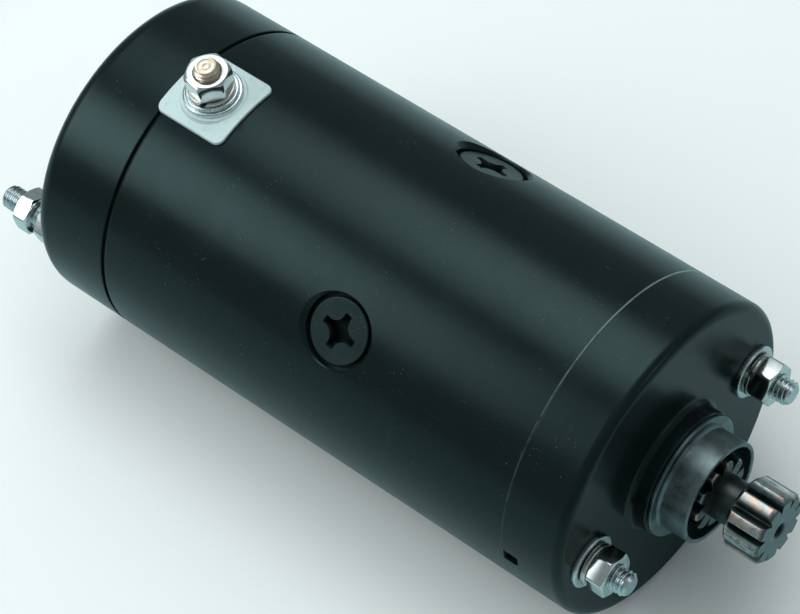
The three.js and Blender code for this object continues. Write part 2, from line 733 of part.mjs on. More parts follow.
function oilSeal() {
  const [start, end, lip] = [-9.5, -3.5, FRONT_JOURNAL_R + RUNNING_GAP];
  const recess = lip + 1.8;
  return turned([
    [start, recess],
    [start, BEARING_R],
    [end, BEARING_R],
    [end, lip + 1],
    [end - 2, lip],
    [end - 3.5, lip],
    [end - 4, recess],
  ], HUB_SEGMENTS);
}

function rearBushing() {
  return tube(HUB_END_X - 13, HUB_END_X, JOURNAL_R + RUNNING_GAP, BUSHING_R, HUB_SEGMENTS);
}

function thrustWasher() {
  const gap = 0.1;
  return tube(HUB_END_X + gap, SHOULDER_X - gap, JOURNAL_R + RUNNING_GAP, 9.5, HUB_SEGMENTS);
}

// ---------------------------------------------------------------- brush gear

const BRUSH_WIDTH = 6.5;
const BRUSH_AXIAL = 11;
const BRUSH_MID_X = -144.5;
const BRUSH_FACE_R = COMMUTATOR_R + 0.1;
const BRUSH_TOP_R = 27.1;
const HOLDER_BOTTOM_R = 19.5;
const HOLDER_TOP_R = 26.6;
const HOLDER_WALL = 1.2;
const SLIDE_GAP = 0.15;
const PLATE_FRONT_X = BRUSH_MID_X - BRUSH_AXIAL / 2 - SLIDE_GAP - HOLDER_WALL - REST_GAP;

function brushPlate() {
  const disc = tube(PLATE_SEAT_X + REST_GAP, PLATE_FRONT_X, 19, SPIGOT_BORE_R - 0.1, HUB_SEGMENTS);
  const holes = [1, -1].map((side) =>
    rodAt(PLATE_SEAT_X - 1, PLATE_FRONT_X + 1, THROUGH_HOLE_R, side * THROUGH_STUD_Y, 0, STUD_SEGMENTS));
  return cut(disc, ...holes);
}

function brushHolder() {
  const halfX = BRUSH_AXIAL / 2 + SLIDE_GAP;
  const halfY = BRUSH_WIDTH / 2 + SLIDE_GAP;
  const outer = box(BRUSH_MID_X - halfX - HOLDER_WALL, BRUSH_MID_X + halfX + HOLDER_WALL,
    -halfY - HOLDER_WALL, halfY + HOLDER_WALL, HOLDER_BOTTOM_R, HOLDER_TOP_R);
  const slot = box(BRUSH_MID_X - halfX, BRUSH_MID_X + halfX, -halfY, halfY, 10, 40);
  return cut(outer, slot);
}

function brush() {
  const half = BRUSH_WIDTH / 2;
  const lean = THREE.MathUtils.radToDeg(Math.asin(half / BRUSH_FACE_R));
  const outline = [
    ...arcPoints(BRUSH_FACE_R, 90 + lean, 90 - lean, 4),
    [half, BRUSH_TOP_R],
    [-half, BRUSH_TOP_R],
  ];
  return prismX(outline, BRUSH_MID_X - BRUSH_AXIAL / 2, BRUSH_MID_X + BRUSH_AXIAL / 2);
}

// A rolled strip spring that rides on the brush's back, with its free end turned down.
function brushSpring() {
  const [thickness, width, turns, steps] = [0.35, 6, 2, 18];
  const [startR, endR] = [1.1, 2.8];
  const centre = BRUSH_TOP_R + endR + thickness + 0.1;
  const spiral = (offset) => Array.from({ length: steps + 1 }, (_, i) => {
    const angle = Math.PI * 2 * turns * i / steps - Math.PI / 2;
    const radius = startR + (endR - startR) * i / steps + offset;
    return [radius * Math.cos(angle), centre + radius * Math.sin(angle)];
  });
  const outline = [...spiral(thickness / 2), ...spiral(-thickness / 2).reverse()];
  return prismX(outline, BRUSH_MID_X - width / 2, BRUSH_MID_X + width / 2);
}

// ---------------------------------------------------------------- terminal

const PLATE_TOP_R = BODY_R + 1.05;
const PAD_TOP_Z = 45.8;
const TERMINAL_WASHER_HEIGHT = 1.3;
const UPPER_WASHER_HEIGHT = 1.0;
const TERMINAL_LOCK_HEIGHT = 1.4;
const TERMINAL_TIP_Z = 57.5;
const BUSH_FLANGE_TOP_Z = 36.9;
const BUSH_FLANGE_BOTTOM_Z = 35.2;

// Stands a solid of the X axis up along the terminal stud: its +X becomes +Z.
function upright(geometry) {
  return geometry.rotateY(-Math.PI / 2).translate(TERMINAL_X, 0, 0);
}

function terminalInsulatorPlate() {
  const [width, cornerR, padR] = [22, 2.2, 8.6];
  const halfAngle = 20;
  const seatR = BODY_R + REST_GAP;
  const curved = prismX([
    ...arcPoints(PLATE_TOP_R, 90 - halfAngle, 90 + halfAngle, 8),
    ...arcPoints(seatR, 90 + halfAngle, 90 - halfAngle, 8),
  ], TERMINAL_X - width, TERMINAL_X + width);
  const plan = new THREE.ExtrudeGeometry(roundedRectangle(width, width, cornerR),
    { depth: 20, bevelEnabled: false, curveSegments: 3 }).translate(TERMINAL_X, 0, 35);
  const pad = upright(rod(PLATE_TOP_R - 1, PAD_TOP_Z, padR, HUB_SEGMENTS));
  const hole = upright(rod(30, 60, STUD_R + 0.1, STUD_SEGMENTS));
  return cut(join(common(curved, plan), pad), hole);
}

function terminalInsulatorBush() {
  const sleeveR = TERMINAL_HOLE_R - 0.1;
  const holeR = STUD_R + 0.1;
  const flangeR = TERMINAL_HOLE_R + 1;
  return upright(turned([
    [BUSH_FLANGE_BOTTOM_Z, holeR],
    [BUSH_FLANGE_BOTTOM_Z, flangeR],
    [BUSH_FLANGE_TOP_Z, flangeR],
    [BUSH_FLANGE_TOP_Z, sleeveR],
    [BODY_R - 0.6, sleeveR],
    [BODY_R - 0.6, holeR],
  ], STUD_SEGMENTS));
}

function terminalStud() {
  const headBottom = 30.2;
  const headTop = 33.7;
  const head = box(TERMINAL_X - 5.5, TERMINAL_X + 5.5, -5.5, 5.5, headBottom, headTop);
  return join(head, upright(stud(headBottom + 1, TERMINAL_TIP_Z)));
}

// ---------------------------------------------------------------- assembly

place('field_frame', 'black_paint', fieldFrame());
place('drive_end_head', 'black_paint', driveEndHead());
place('pilot_sleeve', 'burnished_steel', pilotSleeve());
place('commutator_end_head', 'black_paint', commutatorEndHead());

POLE_ANGLES.forEach((angle, i) => {
  place(`pole_shoe_${i + 1}`, 'magnet_steel', poleShoe(), angle - 90);
  place(`field_coil_${i + 1}`, 'coil_wrap', fieldCoil(), angle - 90);
  place(`pole_screw_${i + 1}`, 'black_screw', poleScrew(), angle - 90);
});
place('field_strap', 'copper', fieldStrap());

place('armature_shaft', 'pinion_steel', armatureShaft());
place('armature_core', 'core_steel', armatureCore());
place('armature_winding', 'copper', armatureWinding());
place('commutator', 'copper', commutator());

place('needle_bearing_cup', 'bearing_steel', needleBearingCup());
place('needle_bearing_rollers', 'bearing_cage', needleSet());
place('oil_seal', 'rubber', oilSeal());
place('rear_bushing', 'bronze', rearBushing());
place('thrust_washer', 'plate_steel', thrustWasher());

place('brush_plate', 'plate_steel', brushPlate());
POLE_ANGLES.forEach((angle, i) => {
  place(`brush_holder_${i + 1}`, 'plate_steel', brushHolder(), angle - 90);
  place(`brush_${i + 1}`, 'carbon', brush(), angle - 90);
  place(`brush_spring_${i + 1}`, 'spring_steel', brushSpring(), angle - 90);
});

const upperWasherZ = PAD_TOP_Z + TERMINAL_WASHER_HEIGHT;
const terminalLockZ = upperWasherZ + UPPER_WASHER_HEIGHT;
const terminalNutZ = terminalLockZ + TERMINAL_LOCK_HEIGHT;
place('terminal_insulator_plate', 'insulator_white', terminalInsulatorPlate());
place('terminal_insulator_bush', 'insulator_white', terminalInsulatorBush());
place('terminal_stud', 'copper_stud', terminalStud());
place('terminal_washer', 'zinc', upright(flatWasher(PAD_TOP_Z, 7.9, TERMINAL_WASHER_HEIGHT)));
place('terminal_upper_washer', 'zinc', upright(flatWasher(upperWasherZ, 7.1, UPPER_WASHER_HEIGHT)));
place('terminal_lock_washer', 'yellow_zinc',
  upright(lockWasher(terminalLockZ, 6.2, TERMINAL_LOCK_HEIGHT, 200)));
place('terminal_nut', 'bright_nut', upright(hexNut(terminalNutZ, TERMINAL_NUT_HEIGHT, 20)));

const FLAT_WASHER_HEIGHT = 1.5;
const LOCK_WASHER_HEIGHT = 1.7;
const FRONT_STUD_END_X = 13.1;
const frontNutX = FLAT_WASHER_HEIGHT + LOCK_WASHER_HEIGHT;
const REAR_STUD_END_X = -196.3;
const nutSpacing = 3.0;
const clampNutX = REAR_FACE_X - REAR_NUT_HEIGHT;
const bracketNutX = clampNutX - nutSpacing - REAR_NUT_HEIGHT;
[1, -1].forEach((side, i) => {
  const n = i + 1;
  const y = side * THROUGH_STUD_Y;
  const rearY = side * REAR_STUD_Y;
  const nutTurn = side > 0 ? 53 : 35;
  place(`through_stud_${n}`, 'zinc', stud(THROUGH_STUD_START_X, FRONT_STUD_END_X).translate(0, y, 0));
  place(`front_washer_${n}`, 'zinc', flatWasher(0, 7.4, FLAT_WASHER_HEIGHT).translate(0, y, 0));
  place(`front_lock_washer_${n}`, 'yellow_zinc',
    lockWasher(FLAT_WASHER_HEIGHT, 5.9, LOCK_WASHER_HEIGHT, 80 + 60 * n).translate(0, y, 0));
  place(`front_nut_${n}`, 'bright_nut', hexNut(frontNutX, FRONT_NUT_HEIGHT, nutTurn).translate(0, y, 0));
  place(`rear_stud_${n}`, 'zinc', stud(REAR_STUD_END_X, REAR_STUD_INNER_X).translate(0, rearY, 0));
  place(`rear_clamp_nut_${n}`, 'bright_nut', hexNut(clampNutX, REAR_NUT_HEIGHT, 41).translate(0, rearY, 0));
  const bracketNut = hexNut(bracketNutX, REAR_NUT_HEIGHT, 33);
  place(`rear_bracket_nut_${n}`, 'bright_nut', bracketNut.translate(0, rearY, 0));
});

export default motor;
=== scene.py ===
"""The looks of a direct-drive starter motor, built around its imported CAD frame.

Metres, +X along the shaft towards the pinion, +Z out through the terminal stud. Every
piece takes its size and its place from the CAD node that it stands for.
"""

import json
from math import atan, atan2, ceil, cos, degrees, hypot, pi, radians, sin, sqrt, tan

import bmesh
import bpy
from mathutils import Matrix, Vector

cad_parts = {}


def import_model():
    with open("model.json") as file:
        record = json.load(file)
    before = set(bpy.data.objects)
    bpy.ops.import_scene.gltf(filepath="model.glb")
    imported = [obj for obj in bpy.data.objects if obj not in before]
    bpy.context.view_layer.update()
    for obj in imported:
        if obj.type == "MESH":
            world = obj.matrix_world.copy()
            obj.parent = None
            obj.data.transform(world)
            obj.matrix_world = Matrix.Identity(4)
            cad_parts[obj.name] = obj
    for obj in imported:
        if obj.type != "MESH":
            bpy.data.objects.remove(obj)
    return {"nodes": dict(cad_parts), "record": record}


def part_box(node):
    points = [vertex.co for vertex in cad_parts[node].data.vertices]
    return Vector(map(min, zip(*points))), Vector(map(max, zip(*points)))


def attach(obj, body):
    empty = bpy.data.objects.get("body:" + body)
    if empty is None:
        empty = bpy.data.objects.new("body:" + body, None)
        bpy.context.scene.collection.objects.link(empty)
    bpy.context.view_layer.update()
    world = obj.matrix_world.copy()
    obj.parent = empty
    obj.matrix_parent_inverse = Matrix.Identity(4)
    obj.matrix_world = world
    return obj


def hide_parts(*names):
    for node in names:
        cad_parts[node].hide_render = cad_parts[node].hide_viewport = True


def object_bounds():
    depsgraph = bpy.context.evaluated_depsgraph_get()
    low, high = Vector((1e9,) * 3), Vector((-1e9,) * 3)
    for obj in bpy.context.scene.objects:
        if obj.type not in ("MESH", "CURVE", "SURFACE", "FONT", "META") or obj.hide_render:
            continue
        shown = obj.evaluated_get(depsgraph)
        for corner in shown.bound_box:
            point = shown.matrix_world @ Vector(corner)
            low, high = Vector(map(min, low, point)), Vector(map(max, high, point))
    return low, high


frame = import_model()
cad_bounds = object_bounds()

MM = 0.001
FULL_TURN = 2 * pi
RECORD = frame["record"]
BODY_OF_NODE = {node: body for body, nodes in RECORD["behaviour"]["bodies"].items() for node in nodes}
SLOT_OF_NODE = {part["node"]: part["material_slot"] for part in RECORD["subparts"]}


def extent(node, axis):
    """The two ends of a CAD node's box along one axis."""
    low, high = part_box(node)
    return getattr(low, axis), getattr(high, axis)


def middle(node, axis):
    return sum(extent(node, axis)) / 2


# ---- driving dimensions

REAR_SEAM, FRONT_SEAM = extent("field_frame", "x")
BODY_R = extent("field_frame", "y")[1]
FRAME_BORE_R = BODY_R - 6.5 * MM
SPIGOT_R = FRAME_BORE_R - 0.1 * MM    # the end heads' spigots enter the frame's bore
SPIGOT_WALL = 1.9 * MM
BROKEN_EDGE = 0.35 * MM
FACE_X = extent("front_washer_1", "x")[0]   # the drive end head's flat face
BOSS_TOP = extent("drive_end_head", "x")[1]
BOSS_R = 17.3 * MM
SLEEVE_R = 14.2 * MM

SCREW_X = middle("pole_screw_1", "x")
SCREW_HEAD_R = extent("pole_screw_1", "x")[1] - SCREW_X
SCREW_HEAD_TOP = BODY_R - 1.7 * MM
SCREW_SHANK_R = 4.6 * MM
TERMINAL_X = middle("terminal_washer", "x")
STUD_R = extent("through_stud_1", "z")[1]

CUP_R = 13.0 * MM
FRONT_JOURNAL_R = 9.9 * MM
NEEDLE_R = 1.0 * MM
NEEDLE_PITCH_R = 10.98 * MM
NEEDLE_COUNT = 18

SHAFT_BACK, SHAFT_FRONT = extent("armature_shaft", "x")
TEETH = 10
TIP_R = 9.9 * MM
ROOT_R = 6.5 * MM
BASE_R = 7.75 * MM
TIP_HALF = radians(6.6)
FIRST_TOOTH = radians(26)
PINION_BACK = SHAFT_FRONT - 10.8 * MM
INNER_TEETH_BACK = FACE_X + 8.5 * MM
INNER_TEETH_FRONT = FACE_X + 15.4 * MM
NECK_R = 6.0 * MM


# ---- mesh helpers

def fillet(corners, closed, steps=4):
    """Rounds each (u, v, radius) corner of an outline and returns the (u, v) points."""
    count = len(corners)
    points = []
    for i, (u, v, radius) in enumerate(corners):
        here = Vector((u, v))
        at_end = not closed and i in (0, count - 1)
        if radius <= 0 or at_end:
            points.append((u, v))
            continue
        back = Vector(corners[i - 1][:2]) - here
        ahead = Vector(corners[(i + 1) % count][:2]) - here
        reach = 0.48 * min(back.length, ahead.length)
        back.normalize()
        ahead.normalize()
        opening = back.angle(ahead)
        if pi - opening < 0.02:
            points.append((u, v))
            continue
        tangent = min(radius / tan(opening / 2), reach)
        arc_radius = tangent * tan(opening / 2)
        centre = here + (back + ahead).normalized() * arc_radius / sin(opening / 2)
        first = here + back * tangent - centre
        last = here + ahead * tangent - centre
        sweep = first.angle(last)
        for k in range(steps + 1):
            share = k / steps
            mixed = first * sin((1 - share) * sweep) + last * sin(share * sweep)
            points.append(tuple(centre + mixed / sin(sweep)))
    return points


def skin(rings, closed=False, capped=False):
    """Joins rings of equal count into one surface. A ring of one point is a pole."""
    verts, index = [], []
    for ring in rings:
        index.append(list(range(len(verts), len(verts) + len(ring))))
        verts.extend(ring)
    faces = []
    followers = index[1:] + index[:1] if closed else index[1:]
    for a, b in zip(index, followers):
        count = max(len(a), len(b))
        for i in range(count):
            j = (i + 1) % count
            if len(a) == 1:
                faces.append((a[0], b[j], b[i]))
            elif len(b) == 1:
                faces.append((a[i], a[j], b[0]))
            else:
                faces.append((a[i], a[j], b[j], b[i]))
    if capped:
        faces.append(tuple(reversed(index[0])))
        faces.append(tuple(index[-1]))
    return verts, faces


def held(profile, closed):
    """Adds points near the ends of straight runs, and along them, so that they shade true."""
    margin = 0.25 * MM
    step = 5 * MM
    followers = profile[1:] + profile[:1] if closed else profile[1:]
    points = []
    for (x0, r0), (x1, r1) in zip(profile, followers):
        points.append((x0, r0))
        length = hypot(x1 - x0, r1 - r0)
        if length < 4 * margin:
            continue
        pieces = ceil((length - 2 * margin) / step)
        for k in range(pieces + 1):
            share = (margin + (length - 2 * margin) * k / pieces) / length
            points.append((x0 + (x1 - x0) * share, r0 + (r1 - r0) * share))
    return points if closed else points + [profile[-1]]


def polar(x, r, angle):
    return x, r * cos(angle), r * sin(angle)


def pole(x):
    """A ring of one point, on the axis."""
    return [(x, 0.0, 0.0)]


def round_angles(count):
    return [FULL_TURN * i / count for i in range(count)]


def turned(corners, closed=True, steps=4, count=96):
    """A body of revolution about X from rounded (x, r, radius) corners, open at the axis or closed."""
    rings = []
    for x, r in held(fillet(corners, closed, steps), closed):
        rings.append([polar(x, r, a) for a in round_angles(count)] if r > 1e-7 else pole(x))
    return skin(rings, closed)


def turned_by_angle(profile_at, count):
    """A closed ring whose (x, r) profile changes with the angle but keeps its number of points."""
    angles = round_angles(count)
    profiles = [profile_at(a) for a in angles]
    rings = [[polar(x, r, a) for (x, r), a in zip(points, angles)] for points in zip(*profiles)]
    return skin(rings, closed=True)


def joined(*parts):
    """Several (verts, faces) pairs as one."""
    verts, faces = [], []
    for part_verts, part_faces in parts:
        start = len(verts)
        verts.extend(part_verts)
        faces.extend(tuple(start + i for i in face) for face in part_faces)
    return verts, faces


def moved(geometry, matrix):
    """The same faces, their points carried by a matrix."""
    verts, faces = geometry
    return [tuple(matrix @ Vector(v)) for v in verts], faces


def make(name, geometry, sharp_degrees=32):
    """A scene object of a (verts, faces) pair, with its faces turned outwards."""
    mesh = bpy.data.meshes.new(name)
    mesh.from_pydata(geometry[0], [], geometry[1])
    shape = bmesh.new()
    shape.from_mesh(mesh)
    bmesh.ops.recalc_face_normals(shape, faces=shape.faces)
    shape.to_mesh(mesh)
    shape.free()
    obj = bpy.data.objects.new(name, mesh)
    bpy.context.scene.collection.objects.link(obj)
    crisp(obj, sharp_degrees)
    return obj


def crisp(obj, sharp_degrees=32):
    """Smooth shading, with a crisp edge wherever the faces turn by more than the stated angle."""
    obj.data.polygons.foreach_set("use_smooth", [True] * len(obj.data.polygons))
    obj.data.set_sharp_from_angle(angle=radians(sharp_degrees))


def combined(obj, tools, operation):
    """Joins closed tool objects to an object or cuts them out of it, and removes them."""
    for tool in tools:
        modifier = obj.modifiers.new("boolean", "BOOLEAN")
        modifier.operation = operation
        modifier.solver = "EXACT"
        modifier.object = tool
    bpy.context.view_layer.update()
    graph = bpy.context.evaluated_depsgraph_get()
    mesh = bpy.data.meshes.new_from_object(obj.evaluated_get(graph))
    obj.modifiers.clear()
    obj.data = mesh
    for tool in tools:
        bpy.data.objects.remove(tool)


def cut(obj, tools):
    combined(obj, tools, "DIFFERENCE")
    crisp(obj)
    return obj


def about_x(angle):
    """A turn about the shaft's axis, in degrees."""
    return Matrix.Rotation(radians(angle), 4, "X")


def radial_to(x, angle):
    """Carries a shape built along +X, from the axis outwards, to an angle in degrees from +Y."""
    stand = Matrix.Rotation(radians(-90), 4, "Y")
    return Matrix.Translation((x, 0, 0)) @ about_x(angle - 90) @ stand


# ---- material helpers

class Tree:
    """A short way to write a node tree."""

    def __init__(self, tree):
        self.tree = tree

    def add(self, kind, **settings):
        node = self.tree.nodes.new(kind)
        for key, value in settings.items():
            setattr(node, key, value)
        return node

    def put(self, target, value):
        """Links an output to an input, or sets the input's own value. A colour needs no alpha."""
        if hasattr(value, "is_linked"):
            self.tree.links.new(value, target)
        elif target.type == "RGBA":
            target.default_value = (*value, 1.0)
        else:
            target.default_value = value

    def filled(self, kind, output, values, **settings):
        """An output of a new node whose inputs take the stated values, by label or by place."""
        node = self.add(kind, **settings)
        for label, value in values.items():
            self.put(node.inputs[label], value)
        return node.outputs[output]

    def math(self, operation, *values):
        return self.filled("ShaderNodeMath", 0, dict(enumerate(values)), operation=operation)

    def times(self, a, b):
        return self.math("MULTIPLY", a, b)


class Look(Tree):
    """A material's node tree, with one principled shader."""

    def __init__(self, name):
        self.material = bpy.data.materials.new(name)
        self.material.use_nodes = True
        super().__init__(self.material.node_tree)
        self.tree.nodes.clear()
        self.shader = self.add("ShaderNodeBsdfPrincipled")
        self.put(self.add("ShaderNodeOutputMaterial").inputs["Surface"], self.shader.outputs["BSDF"])
        self.place = self.add("ShaderNodeTexCoord").outputs["Object"]

    def noise(self, scale, detail=3.0, roughness=0.55, vector=None):
        """Even noise from 0 to 1, its scale in cells per metre."""
        return self.filled("ShaderNodeTexNoise", "Fac", {
            "Vector": vector or self.place,
            "Scale": scale,
            "Detail": detail,
            "Roughness": roughness,
        })

    def streaks(self, scales, detail=2, roughness=0.5):
        """Noise with a scale for each axis."""
        vector = self.filled("ShaderNodeMapping", "Vector", {"Vector": self.place, "Scale": scales})
        return self.noise(1.0, detail, roughness, vector)

    def dots(self, scale, rim, core):
        """Small dots, one to a cell: solid within the core's radius and gone by the rim's."""
        values = {"Vector": self.place, "Scale": scale}
        return self.ramp(self.filled("ShaderNodeTexVoronoi", "Distance", values), rim, core)

    def bands(self, scale, distortion, direction, profile):
        values = {"Vector": self.place, "Scale": scale, "Distortion": distortion}
        return self.filled("ShaderNodeTexWave", "Fac", values, wave_type="BANDS",
                           bands_direction=direction, wave_profile=profile)

    def ramp(self, value, low, high, out_low=0.0, out_high=1.0):
        """Carries low..high to out_low..out_high, and holds the ends."""
        return self.filled("ShaderNodeMapRange", "Result", {
            "Value": value,
            "From Min": low,
            "From Max": high,
            "To Min": out_low,
            "To Max": out_high,
        })

    def mix(self, factor, a, b):
        values = {"Factor": factor, "A": a, "B": b}
        return self.filled("ShaderNodeMix", "Result", values, data_type="RGBA")

    def cover(self, color, mask, amount, over):
        """Lays another colour over this one, by an amount, where the mask is 1."""
        return self.mix(self.times(mask, amount), color, over)

    def along(self, axis):
        return self.filled("ShaderNodeSeparateXYZ", axis, {"Vector": self.place})

    def reach(self, axes):
        """The distance from the origin over the two axes named."""
        squares = [self.times(self.along(a), self.along(a)) for a in axes]
        return self.math("SQRT", self.math("ADD", *squares))

    def bump(self, height, depth):
        """Relief with its real depth in metres. Each call rests on the one before."""
        node = self.add("ShaderNodeBump")
        self.put(node.inputs["Distance"], depth)
        self.put(node.inputs["Height"], height)
        normal = self.shader.inputs["Normal"]
        if normal.is_linked:
            self.put(node.inputs["Normal"], normal.links[0].from_socket)
        self.put(normal, node.outputs["Normal"])

    def surface(self, color, roughness, metallic=0.0, others=None):
        """Sets the shader's main inputs, and any others by their labels."""
        values = {"Base Color": color, "Roughness": roughness, "Metallic": metallic, **(others or {})}
        for label, value in values.items():
            self.put(self.shader.inputs[label], value)
        return self.material


# ---- materials

PAINT_SHEEN = (0.62, 1.0, 1.0)        # teal where the paint is seen square on


def black_enamel(look):
    """Semi-gloss black enamel: orange peel, settled dust, hairline scratches, a worn seam edge."""
    base = look.mix(look.noise(55, 4), (0.0036, 0.0062, 0.0065), (0.0060, 0.0098, 0.0103))
    gathered = look.ramp(look.noise(60, 3), 0.45, 0.58, 0.2, 1.0)
    sparse = look.times(look.ramp(look.noise(210, 3), 0.52, 0.64), gathered)
    dust = look.times(look.dots(950, 0.14, 0.05), sparse)
    base = look.cover(base, dust, 0.8, (0.20, 0.25, 0.26))
    around = look.ramp(look.streaks((2600, 60, 60), roughness=0.4), 0.70, 0.74)
    lengthways = look.ramp(look.streaks((60, 2600, 2600), roughness=0.4), 0.70, 0.74)
    scratch = look.times(look.math("MAXIMUM", around, lengthways), look.ramp(look.noise(34, 2), 0.52, 0.68))
    base = look.cover(base, scratch, 0.07, (0.16, 0.20, 0.21))
    from_seam = look.math("ABSOLUTE", look.math("SUBTRACT", look.along("X"), FRONT_SEAM - 0.1 * MM))
    edge = look.ramp(from_seam, 0.26 * MM, 0.14 * MM)
    ragged = look.ramp(look.noise(260, 3), 0.26, 0.44)
    by_side = look.ramp(look.along("Y"), -30 * MM, 20 * MM, 0.15, 1.0)
    bare = look.times(look.times(edge, ragged), by_side)
    base = look.mix(bare, base, (0.34, 0.42, 0.42))
    roughness = look.ramp(look.noise(120, 5), 0.3, 0.75, 0.20, 0.27)
    roughness = look.math("ADD", roughness, look.times(dust, 0.25))
    look.bump(look.noise(620, 2, 0.4), 0.010 * MM)
    look.bump(look.noise(3200, 3), 0.002 * MM)
    look.bump(dust, 0.03 * MM)
    sheen = {"Specular Tint": PAINT_SHEEN, "Specular IOR Level": 0.21}
    return look.surface(base, roughness, look.times(bare, 0.7), sheen)


def steel(look, light, dark, roughness, wear=0.0, nicks=0.0):
    """Bare steel, turned about X: fine rings, blotches and small nicks."""
    rings = look.streaks((5200, 260, 260), 3, 0.6)
    blotch = look.noise(210, 5, 0.62)
    color = look.mix(look.ramp(blotch, 0.32, 0.70), dark, light)
    nick = look.times(look.dots(1500, 0.18, 0.06), look.ramp(look.noise(500, 2), 0.50, 0.60))
    color = look.cover(color, nick, nicks, (0.86, 0.90, 0.90))
    rough = look.ramp(rings, 0.25, 0.75, roughness * 0.82, roughness * 1.22)
    rough = look.math("ADD", rough, look.ramp(blotch, 0.3, 0.75, -0.04, 0.06 + wear))
    look.bump(rings, 0.006 * MM)
    look.bump(look.noise(1600, 3), 0.004 * MM)
    return look.surface(color, rough, 1.0)


def screw_enamel(look):
    """The screws' thinner paint, chipped by the driver, with painted shade down in the cross."""
    cloud = look.noise(180, 4)
    color = look.mix(cloud, (0.0090, 0.0145, 0.0150), (0.0170, 0.0250, 0.0260))
    chips = look.times(look.dots(1300, 0.17, 0.06), look.ramp(look.noise(160, 2), 0.46, 0.60))
    color = look.cover(color, chips, 0.8, (0.26, 0.32, 0.32))
    # Painted shade: the colour goes nearly black deeper in the cross recess, and the paint reflects less
    # there.
    depth = look.ramp(look.reach("YZ"), SCREW_HEAD_TOP - 0.1 * MM, SCREW_HEAD_TOP - 1.6 * MM)
    color = look.cover(color, depth, 0.85, (0.001, 0.0015, 0.0015))
    look.bump(cloud, 0.03 * MM)
    look.bump(look.noise(2400, 3), 0.006 * MM)
    sheen = {"Specular Tint": PAINT_SHEEN, "Specular IOR Level": look.ramp(depth, 0, 1, 0.25, 0.08)}
    return look.surface(color, look.ramp(cloud, 0.3, 0.7, 0.28, 0.42), 0.0, sheen)


def plated(look, light, dark, roughness, tint, tint_amount):
    """Bright plating over a forged nut or washer, with painted shade in its crevices and thread roots."""
    color = look.mix(look.ramp(look.noise(420, 4, 0.6), 0.3, 0.7), dark, light)
    color = look.cover(color, look.ramp(look.noise(260, 3), 0.46, 0.62), tint_amount, tint)
    # Painted shade: crevices and thread roots, found by pointiness, are darkened nearly to black.
    crevice_shade = look.ramp(look.add("ShaderNodeNewGeometry").outputs["Pointiness"], 0.49, 0.43)
    color = look.cover(color, crevice_shade, 0.9, (0.03, 0.035, 0.035))
    grain = look.noise(2600, 4, 0.6)
    look.bump(look.noise(900, 3), 0.004 * MM)
    look.bump(grain, 0.001 * MM)
    return look.surface(color, look.ramp(grain, 0.2, 0.8, roughness * 0.75, roughness * 1.35), 1.0)


def worn_pinion_steel(look):
    """Dark hardened steel, burnished at the tooth tips, coppery on some of them, with painted shade in its
    centre hole and inside the sleeve behind it.
    """
    r = look.reach("YZ")
    x = look.along("X")
    blotch = look.ramp(look.noise(340, 5, 0.65), 0.3, 0.72)
    color = look.mix(blotch, (0.060, 0.078, 0.082), (0.165, 0.205, 0.21))
    near_tip = look.ramp(r, TIP_R - 0.6 * MM, TIP_R - 0.1 * MM)
    burnished = look.times(near_tip, look.ramp(look.noise(700, 3), 0.30, 0.50))
    color = look.mix(burnished, color, (0.38, 0.43, 0.44))
    near_edge = look.ramp(r, TIP_R - 0.9 * MM, TIP_R - 0.2 * MM)
    bloom = look.times(near_edge, look.ramp(look.noise(230, 3, 0.7), 0.47, 0.60))
    color = look.cover(color, bloom, 0.8, (0.56, 0.38, 0.29))
    on_face = look.ramp(x, SHAFT_FRONT - 0.12 * MM, SHAFT_FRONT - 0.02 * MM)
    color = look.cover(color, on_face, 0.5, (0.21, 0.26, 0.27))
    # Painted shade: the lathe centre hole is darkened nearly to black.
    centre_hole_shade = look.ramp(r, 2.3 * MM, 1.9 * MM)
    color = look.cover(color, centre_hole_shade, 0.9, (0.008, 0.010, 0.010))
    # Painted shade: the neck and inner teeth inside the sleeve are darkened, the inner teeth less so.
    behind = look.ramp(x, PINION_BACK, PINION_BACK - 1 * MM)
    inner_teeth = look.ramp(x, INNER_TEETH_FRONT + 1 * MM, INNER_TEETH_FRONT)
    sleeve_shade = look.math("SUBTRACT", look.times(behind, 0.82), look.times(inner_teeth, 0.50))
    color = look.mix(sleeve_shade, color, (0.030, 0.036, 0.037))
    marks = look.streaks((180, 4200, 4200))
    look.bump(marks, 0.008 * MM)
    look.bump(look.noise(2300, 3), 0.005 * MM)
    return look.surface(color, look.ramp(marks, 0.25, 0.75, 0.26, 0.48), 1.0)


def nylon(look):
    """Pale moulded plastic with grime in patches."""
    color = look.mix(look.noise(260, 4), (0.50, 0.60, 0.59), (0.60, 0.70, 0.69))
    color = look.cover(color, look.ramp(look.noise(700, 4), 0.56, 0.72), 0.35, (0.34, 0.38, 0.37))
    look.bump(look.noise(2200, 3), 0.008 * MM)
    rough = look.ramp(look.noise(1500, 3), 0.3, 0.7, 0.42, 0.56)
    return look.surface(color, rough, 0.0, {"Subsurface Weight": 0.08})


def rubber(look):
    """Dull black rubber."""
    color = look.mix(look.noise(420, 4), (0.008, 0.009, 0.009), (0.022, 0.024, 0.024))
    look.bump(look.noise(1900, 4), 0.012 * MM)
    return look.surface(color, look.ramp(look.noise(800, 3), 0.3, 0.7, 0.45, 0.7))


def laminations(look):
    """Stacked sheets with varnish between them."""
    sheet = look.bands(310, 0.0, "X", "SIN")
    blotch = look.noise(160, 4)
    metal = look.mix(blotch, (0.20, 0.21, 0.22), (0.34, 0.35, 0.36))
    color = look.mix(look.ramp(sheet, 0.10, 0.28), (0.05, 0.03, 0.02), metal)
    look.bump(sheet, 0.04 * MM)
    return look.surface(color, look.ramp(blotch, 0.3, 0.7, 0.34, 0.52), 0.9)


